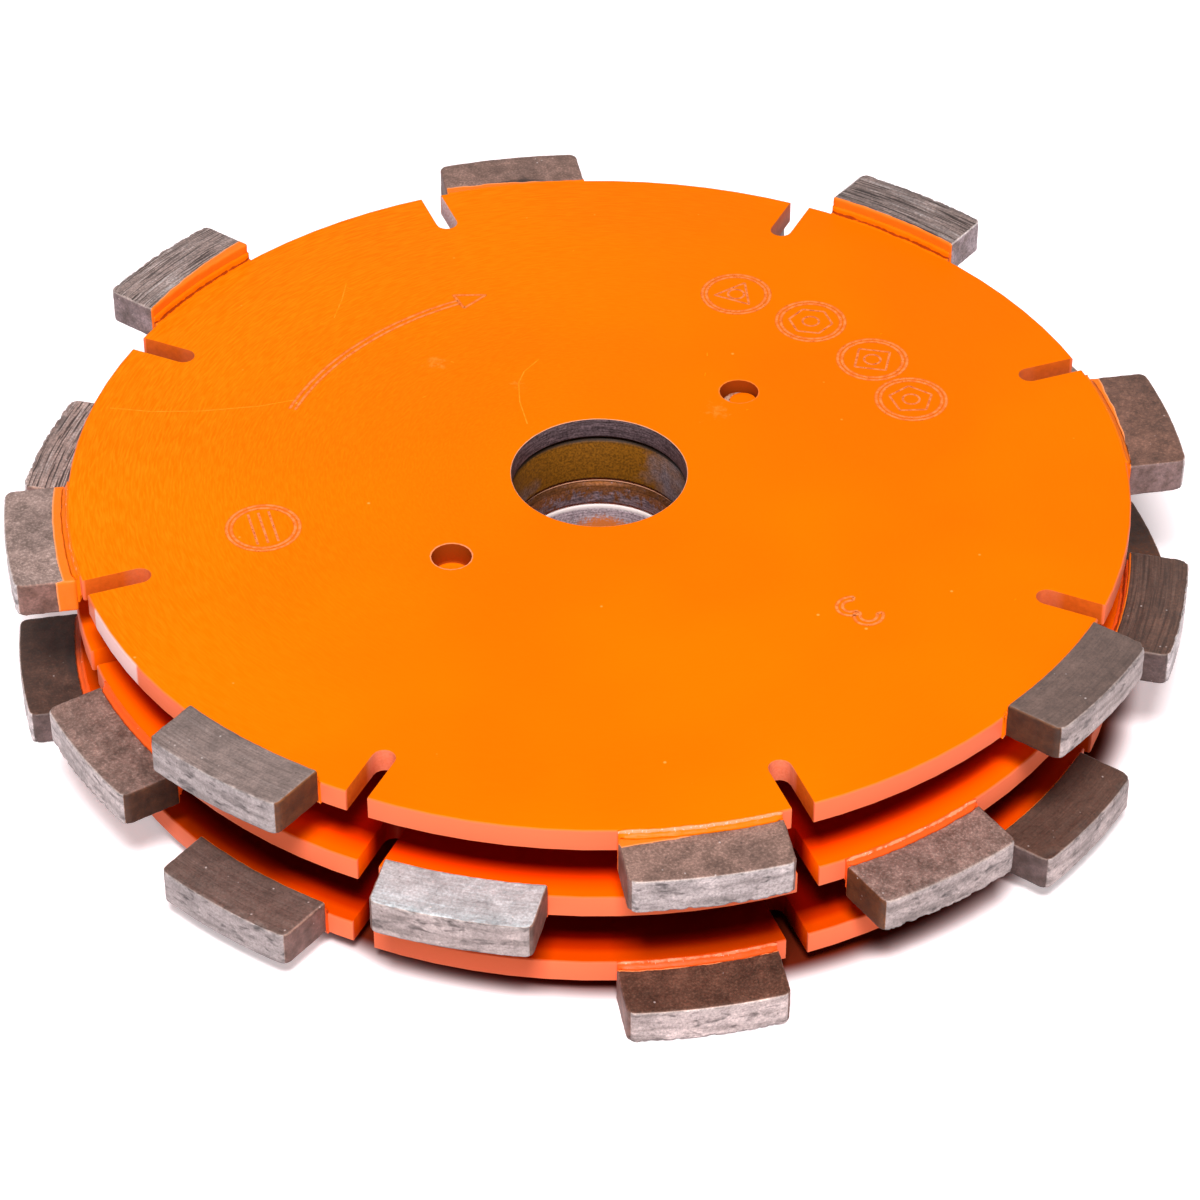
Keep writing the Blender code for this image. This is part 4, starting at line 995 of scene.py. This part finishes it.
# the welded joint under its enamel, swept along the rim: a fillet up the wall on one side and a bead
# over the step on the other; each corner is outward from the rim and up from the core's middle plane, mm
jointShape = {
    "wall": ((-0.6, 1.59), (-0.36, 1.615), (-0.15, 1.625), (0.0, 1.615), (0.07, 1.75), (0.14, 2.1),
             (0.2, 2.6)),
    "through": ((0.42, 2.60), (0.45, -0.90)),
    "step": ((0.80, -0.90), (0.52, -1.03), (0.34, -1.16), (0.15, -1.42), (0.02, -1.62), (-0.16, -1.64)),
    "back": ((-0.30, -1.50), (-0.30, 1.50)),
    "steps": 80, "fade": 0.9, "ripple": 0.10, "length": 19.1,
}
beadWearAndHighlight = {    # how pale the bead is, from worn paint and a painted highlight, where it isn't 1
    "middle_segment_7": 0.2, "middle_segment_2": 0.3, "top_segment_8": 0.8, "bottom_segment_8": 0.5,
    "top_segment_4": 0.6, "top_segment_2": 0.5, "top_segment_6": 1.35,
}


def makeJoint(node, seed):
    place = segmentPlace(node)
    shape = jointShape
    outline = [(point, part) for part in ("wall", "through", "step", "back") for point in shape[part]]
    mesh = bpy.data.meshes.new(node + "_weld")
    weld = bmesh.new()
    grooveLayer = weld.verts.layers.float.new("groove")
    beadLayer = weld.verts.layers.float.new("bead")
    rings = []
    for i in range(shape["steps"] + 1):
        along = (i / shape["steps"] - 0.5) * shape["length"]
        toEnd = shape["length"] / 2 - abs(along)
        swell = min(1.0, 0.15 + toEnd / shape["fade"])
        ring = []
        for k, ((out, up), part) in enumerate(outline):
            shake = noise.noise(Vector((along * 0.7, k * 0.45, seed)))
            shake += 0.6 * noise.noise(Vector((along * 2.3, k * 0.9, seed + 40)))
            if part in ("wall", "step"):
                out = 0.2 + (out - 0.2) * swell + shake * shape["ripple"] * swell
                up = up + shake * shape["ripple"] * 0.5 * swell if 1 < k < 7 else up
            radius = layout["rimRadius"] + out
            vertex = weld.verts.new((along, math.sqrt(radius ** 2 - along ** 2), up * place["side"]))
            vertex[grooveLayer] = {2: 0.7, 3: 1.0, 4: 0.9}.get(k, 0.0)
            vertex[beadLayer] = beadWearAndHighlight.get(node, 1.0) if k in (12, 13) else 0.0
            ring.append(vertex)
        rings.append(ring)
    count = len(outline)
    for a, b in zip(rings, rings[1:]):
        for k in range(count):
            weld.faces.new((a[k], a[(k + 1) % count], b[(k + 1) % count], b[k]))
    weld.faces.new(rings[0])
    weld.faces.new(rings[-1])
    bmesh.ops.recalc_face_normals(weld, faces=weld.faces)
    for face in weld.faces:
        face.smooth = len(face.verts) == 4
    turn = Matrix.Rotation(place["angle"] - math.pi / 2, 4, "Z")
    lift = Matrix.Translation((0, 0, place["coreLevel"]))
    weld.transform(lift @ Matrix.Diagonal((mm, mm, mm, 1)) @ turn)
    bmesh.ops.triangulate(weld, faces=[f for f in weld.faces if len(f.verts) > 4])
    weld.to_mesh(mesh)
    weld.free()
    mesh.materials.append(materials["coat"])
    piece = addObject(mesh.name, mesh)
    dress(piece, "orange_paint")
    return piece


for count, node in enumerate(segmentNodes):
    makeJoint(node, 3.7 * count)
print("welded joints laid:", len(segmentNodes))


# enamel that lay on the pins' ends when the pack was sprayed: a dish to the hole's wall on the lower pin,
# a blob off the middle on the upper one, which is bare beside it
pools = {
    "locating_pin_1": {"shift": (0.55, -0.1),
                       "rings": ((1.2, 0.09), (1.6, 0.07), (1.75, 0.02), (1.78, -0.05))},
    "locating_pin_2": {"shift": (0.0, 0.0), "rings": ((2.0, 0.04), (2.3, 0.1), (2.44, 0.28), (2.47, 0.5),
                                                      (2.47, -0.1))},
}


def makePool(node):
    size = pools[node]
    low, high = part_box(node)
    centre = (low + high) / 2 + Vector((*size["shift"], 0.0)) * mm
    dish = bmesh.new()
    rings = []
    for radius, up in size["rings"]:
        spread = [math.radians(360 * i / 48) for i in range(48)]
        rings.append([dish.verts.new((centre.x + radius * mm * math.cos(a),
                                      centre.y + radius * mm * math.sin(a), high.z + up * mm))
                      for a in spread])
    for inside, outside in zip(rings, rings[1:]):
        for i in range(48):
            dish.faces.new((inside[i], outside[i], outside[(i + 1) % 48], inside[(i + 1) % 48]))
    dish.faces.new(rings[0])
    dish.faces.new(reversed(rings[-1]))
    bmesh.ops.recalc_face_normals(dish, faces=dish.faces)
    bmesh.ops.triangulate(dish, faces=[f for f in dish.faces if len(f.verts) > 4])
    for face in dish.faces:
        face.smooth = True
    mesh = bpy.data.meshes.new(node + "_pool")
    dish.to_mesh(mesh)
    dish.free()
    mesh.materials.append(materials["enamel"])
    mesh.set_sharp_from_angle(angle=math.radians(50))
    piece = addObject(mesh.name, mesh)
    storeDiscPlace(piece, Matrix.Identity(4))
    dress(piece, "orange_paint")


for node in ("locating_pin_1", "locating_pin_2"):
    makePool(node)
print("paint laid in the pin holes")


# marks on the upper face: a direction arrow, five round marks with plain figures, and the numeral 3
markShape = {
    "lineWidth": 0.32, "edgeWidth": 0.5, "figureWidth": 0.3, "lift": 0.02, "shake": 0.05,     # mm
    "arrow": {"radii": (41.35, 42.12), "from": 163.2, "to": 118.3, "back": (40.15, 43.5),
              "tip": (41.8, 112.9)},
    "ring": {"angles": (66.5, 51.1, 35.7, 22.6, -162.9), "radius": 43.3, "lines": (4.55, 4.0)},
    "numeral": {"angle": -39.6, "radius": 42.0, "height": 5.4, "width": 3.0, "stroke": 0.75},
}


def polar(radius, degrees):
    return radius * math.cos(math.radians(degrees)), radius * math.sin(math.radians(degrees))


def arcLine(centre, radius, start, end, steps=24, squash=1.0):
    spread = [start + (end - start) * i / steps for i in range(steps + 1)]
    return [(centre[0] + polar(radius, a)[0], centre[1] + polar(radius, a)[1] * squash) for a in spread]


def arrowLines():
    size = markShape["arrow"]
    lines = [arcLine((0, 0), radius, size["from"], size["to"]) for radius in size["radii"]]
    inner, outer = (polar(radius, size["to"]) for radius in size["back"])
    tip = polar(*size["tip"])
    return lines + [[inner, outer, tip, inner]]


def figureLines(number):
    corners = (3, 6, 4, 5)
    if number < len(corners):
        return [arcLine((0, 0), 2.9, 90, 450, corners[number]), arcLine((0, 0), 1.1, 0, 360, 16)]
    return [[(-3.1, y), (3.1, y)] for y in (-1.3, 0.0, 1.3)]


def upright(lines, radius, degrees):
    x, y = polar(radius, degrees)
    turn = math.radians(degrees - 90)
    c, s = math.cos(turn), math.sin(turn)
    return [[(x + c * px - s * py, y + s * px + c * py) for px, py in line] for line in lines]


def numeralLines():
    size = markShape["numeral"]
    bowl = size["height"] / 4
    squash = bowl / (size["width"] / 2)
    sides = []
    for offset in (-size["stroke"] / 2, size["stroke"] / 2):
        radius = size["width"] / 2 + offset
        sides.append(arcLine((0, bowl), radius, 150, -75, squash=squash)
                     + arcLine((0, -bowl), radius, 75, -150, squash=squash))
    return sides + [[sides[0][0], sides[1][0]], [sides[0][-1], sides[1][-1]]]


def markLines():
    lines = arrowLines()
    figures = []
    ring = markShape["ring"]
    for number, degrees in enumerate(ring["angles"]):
        circles = [arcLine((0, 0), radius, 0, 360, 48) for radius in ring["lines"]]
        lines += upright(circles, ring["radius"], degrees)
        figures += upright(figureLines(number), ring["radius"], degrees)
    three = markShape["numeral"]
    return lines + upright(numeralLines(), three["radius"], three["angle"]), figures


def markTree(material):
    tree, given = startGrowth("burntLine", {"Line Width": markShape["lineWidth"],
                                            "Shake": markShape["shake"], "Seed": 3.0})
    path = addNode(tree, "GeometryNodeResampleCurve", {"Curve": given["Geometry"], "Length": 0.25 * mm},
                   mode="LENGTH")
    path = addNode(tree, "GeometryNodeSetCurveNormal", {"Curve": path}, mode="Z_UP")
    position = addNode(tree, "GeometryNodeInputPosition")
    shaky = addNode(tree, "ShaderNodeTexNoise",
                    {"Vector": position, "W": given["Seed"], "Scale": 1800.0, "Detail": 2.0},
                    noise_dimensions="4D")
    offset = addNode(tree, "ShaderNodeVectorMath", {0: shaky.outputs["Color"], 1: (-0.5, -0.5, -0.5)},
                     operation="ADD")
    offset = addNode(tree, "ShaderNodeVectorMath", {0: offset, 1: (mm, mm, 0.0)}, operation="MULTIPLY")
    offset = addNode(tree, "ShaderNodeVectorMath", {0: offset, "Scale": given["Shake"]}, operation="SCALE")
    path = addNode(tree, "GeometryNodeSetPosition", {"Geometry": path, "Offset": offset})
    width = addNode(tree, "ShaderNodeMapRange", {0: shaky, 1: 0.3, 2: 0.7, 3: 0.75, 4: 1.2})
    path = addNode(tree, "GeometryNodeSetCurveRadius", {"Curve": path, "Radius": width})
    halfWidth = addNode(tree, "ShaderNodeMath", {0: given["Line Width"], 1: mm / 2}, operation="MULTIPLY")
    halfBack = addNode(tree, "ShaderNodeMath", {0: halfWidth, 1: -1.0}, operation="MULTIPLY")
    line = addNode(tree, "GeometryNodeCurvePrimitiveLine",
                   {"Start": addNode(tree, "ShaderNodeCombineXYZ", {0: halfBack}),
                    "End": addNode(tree, "ShaderNodeCombineXYZ", {0: halfWidth})})
    ribbon = addNode(tree, "GeometryNodeCurveToMesh", {"Curve": path, "Profile Curve": line})
    ribbon = addNode(tree, "GeometryNodeRealizeInstances", {"Geometry": ribbon})
    ribbon = addNode(tree, "GeometryNodeSetMaterial", {"Geometry": ribbon, "Material": material})
    addNode(tree, "NodeGroupOutput", {0: ribbon})
    return tree


def makeMarks(name, lines, material, width, lift=markShape["lift"]):
    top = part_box("top_core")[1].z + lift * mm
    path = bpy.data.curves.new(name + "Paths", "CURVE")
    path.dimensions = "3D"
    for line in lines:
        spline = path.splines.new("POLY")
        spline.points.add(len(line) - 1)
        for point, (x, y) in zip(spline.points, line):
            point.co = (x * mm, y * mm, top, 1.0)
    source = addObject(name + "Paths", path)
    piece = growMesh(name, markTree(material), {"Seed": 3.0, "Line Width": width}, source)
    up = sum(p.normal.z for p in piece.data.polygons)
    if up < 0:
        piece.data.flip_normals()
    dress(piece, "orange_paint")
    return piece


scuffs = (      # mm, light scratches and specks on the upper face
    ((-63.5, 11.6), (-58.0, 11.0), (-51.8, 11.3), (-44.2, 12.6), (-39.8, 14.1)),
    ((-35.2, 40.7), (-35.5, 36.8), (-36.2, 32.6)),
    ((-35.0, 39.6), (-34.2, 39.3)),
    ((-38.0, 31.1), (-37.6, 31.2)),
    ((-8.6, 24.0), (-10.4, 21.2), (-11.0, 18.7), (-10.7, 14.6), (-9.5, 9.8)),
    ((-20.1, 23.1), (-19.7, 23.0)),
    ((-23.3, 15.1), (-22.9, 15.4)),
    ((13.5, 26.1), (13.5, 25.4)),
    ((13.3, 21.6), (13.2, 20.9)),
    ((18.6, 13.6), (18.9, 13.8)),
    ((36.3, 31.0), (36.6, 31.2)),
    ((-5.0, 49.2), (-4.8, 49.5)),
    ((51.2, -24.2), (51.4, -23.9)),
)
ringLines, figures = markLines()
marks = makeMarks("engraved_marks", ringLines, materials["mark"], markShape["lineWidth"])
makeMarks("engraved_edges", ringLines, materials["markEdge"], markShape["edgeWidth"], 0.012)
makeMarks("engraved_figures", figures, materials["figure"], markShape["figureWidth"])
print("marks burnt:", len(marks.data.polygons), "faces, thickness",
      round(marks.dimensions.z / mm, 3), "mm")
makeMarks("scuffs", scuffs, materials["scuff"], 0.14)


# floor, light and camera
studio = {
    "floor": "#F6ECEE", "floorShadow": "#64200F",     # away from the pack, and a painted shadow close under it
    "floorSize": 3.0,                   # m
    "floorGlow": (0.0, 0.52),           # how much the paper shines under the pack and away from it
    "glowFrom": (0.0640, 0.0684),       # m, distances from glowMiddle between which it changes
    "glowMiddle": (0.0026, -0.0006, 0.0),
    "world": 0.06,                      # what the room's light adds
    "key": {"place": (0.0, -0.60, 0.93), "aim": (0.0, 0.0, 0.01), "size": (0.28, 0.20), "power": 15.3},
    "fill": {"place": (-0.12, -1.02, 0.38), "aim": (0.0, 0.0, 0.01), "size": (0.5, 0.3), "power": 0.6},
    "cameraPlace": (10.956, -397.18, 330.49), "cameraAim": (-0.021066, 0.773691, -0.633214),
    "cameraRoll": 0.0016, "lens": 118.58,
}


def seenDirectly(tree):     # 1 where the eye or a reflection meets it, 0 where it only lights
    rays = addNode(tree, "ShaderNodeLightPath").outputs
    seen = rays["Is Camera Ray"]
    for name in ("Is Glossy Ray", "Is Transmission Ray"):
        seen = addNode(tree, "ShaderNodeMath", {0: seen, 1: rays[name]}, operation="MAXIMUM")
    return seen


def makeFloor():
    material = bpy.data.materials.new("whiteSweep")     # a matt white paper sweep, with a painted shadow close under the pack
    material.use_nodes = True
    tree = material.node_tree
    tree.nodes.clear()
    coords = addNode(tree, "ShaderNodeTexCoord")
    away = addNode(tree, "ShaderNodeVectorMath", {0: coords.outputs["Object"], 1: studio["glowMiddle"]},
                   operation="DISTANCE")
    # painted shadow: close under the pack the paper turns dark red-brown and stops glowing
    start, end = studio["glowFrom"]
    far = addNode(tree, "ShaderNodeMapRange", {0: away.outputs["Value"], 1: start, 2: end, 3: 0.0, 4: 1.0},
                  interpolation_type="SMOOTHSTEP")
    white = addNode(tree, "ShaderNodeMix",
                    {0: far, 6: hexColour(studio["floorShadow"]), 7: hexColour(studio["floor"])},
                    data_type="RGBA")
    paper = addNode(tree, "ShaderNodeBsdfDiffuse", {"Color": white.outputs[2]})
    seen = seenDirectly(tree)
    least, most = studio["floorGlow"]
    glow = addNode(tree, "ShaderNodeMapRange", {0: far, 1: 0.0, 2: 1.0, 3: least, 4: most})
    strength = addNode(tree, "ShaderNodeMath", {0: seen, 1: glow}, operation="MULTIPLY")
    glow = addNode(tree, "ShaderNodeEmission", {"Color": white.outputs[2], "Strength": strength})
    both = addNode(tree, "ShaderNodeAddShader", {0: paper, 1: glow})
    addNode(tree, "ShaderNodeOutputMaterial", {"Surface": both})
    mesh = bpy.data.meshes.new("floor")
    half = studio["floorSize"] / 2
    mesh.from_pydata([(-half, -half, 0), (half, -half, 0), (half, half, 0), (-half, half, 0)], [],
                     [(0, 1, 2, 3)])
    mesh.materials.append(material)
    floor = addObject("floor", mesh)


def makeWorld():
    world = bpy.data.worlds.new("studioRoom")
    bpy.context.scene.world = world
    world.use_nodes = True
    tree = world.node_tree
    tree.nodes.clear()
    seen = seenDirectly(tree)
    strength = addNode(tree, "ShaderNodeMapRange", {0: seen, 1: 0.0, 2: 1.0, 3: studio["world"], 4: 1.0})
    room = addNode(tree, "ShaderNodeBackground", {"Color": (1.0, 1.0, 1.0, 1.0), "Strength": strength})
    addNode(tree, "ShaderNodeOutputWorld", {"Surface": room})


def makeLamp(name):
    size = studio[name]
    data = bpy.data.lights.new(name, "AREA")
    data.shape = "RECTANGLE"
    data.size, data.size_y = size["size"]
    data.energy = size["power"]
    lamp = addObject(name, data)
    lamp.location = size["place"]
    lamp.rotation_mode = "QUATERNION"
    lamp.rotation_quaternion = (Vector(size["aim"]) - Vector(size["place"])).to_track_quat("-Z", "Y")


def makeCamera():
    data = bpy.data.cameras.new("photoCamera")
    data.lens = studio["lens"]
    data.sensor_width = 36.0
    data.clip_start, data.clip_end = 0.01, 20.0
    camera = addObject("photoCamera", data)
    camera.location = Vector(studio["cameraPlace"]) * mm
    camera.rotation_mode = "QUATERNION"
    look = Vector(studio["cameraAim"]).to_track_quat("-Z", "Y")
    camera.rotation_quaternion = look @ Matrix.Rotation(studio["cameraRoll"], 3, "Z").to_quaternion()
    bpy.context.scene.camera = camera


makeFloor()
makeWorld()
makeLamp("key")
makeLamp("fill")
makeCamera()
bpy.context.scene.view_settings.view_transform = "Standard"
print("floor, lamps and camera placed")

bpy.context.view_layer.update()
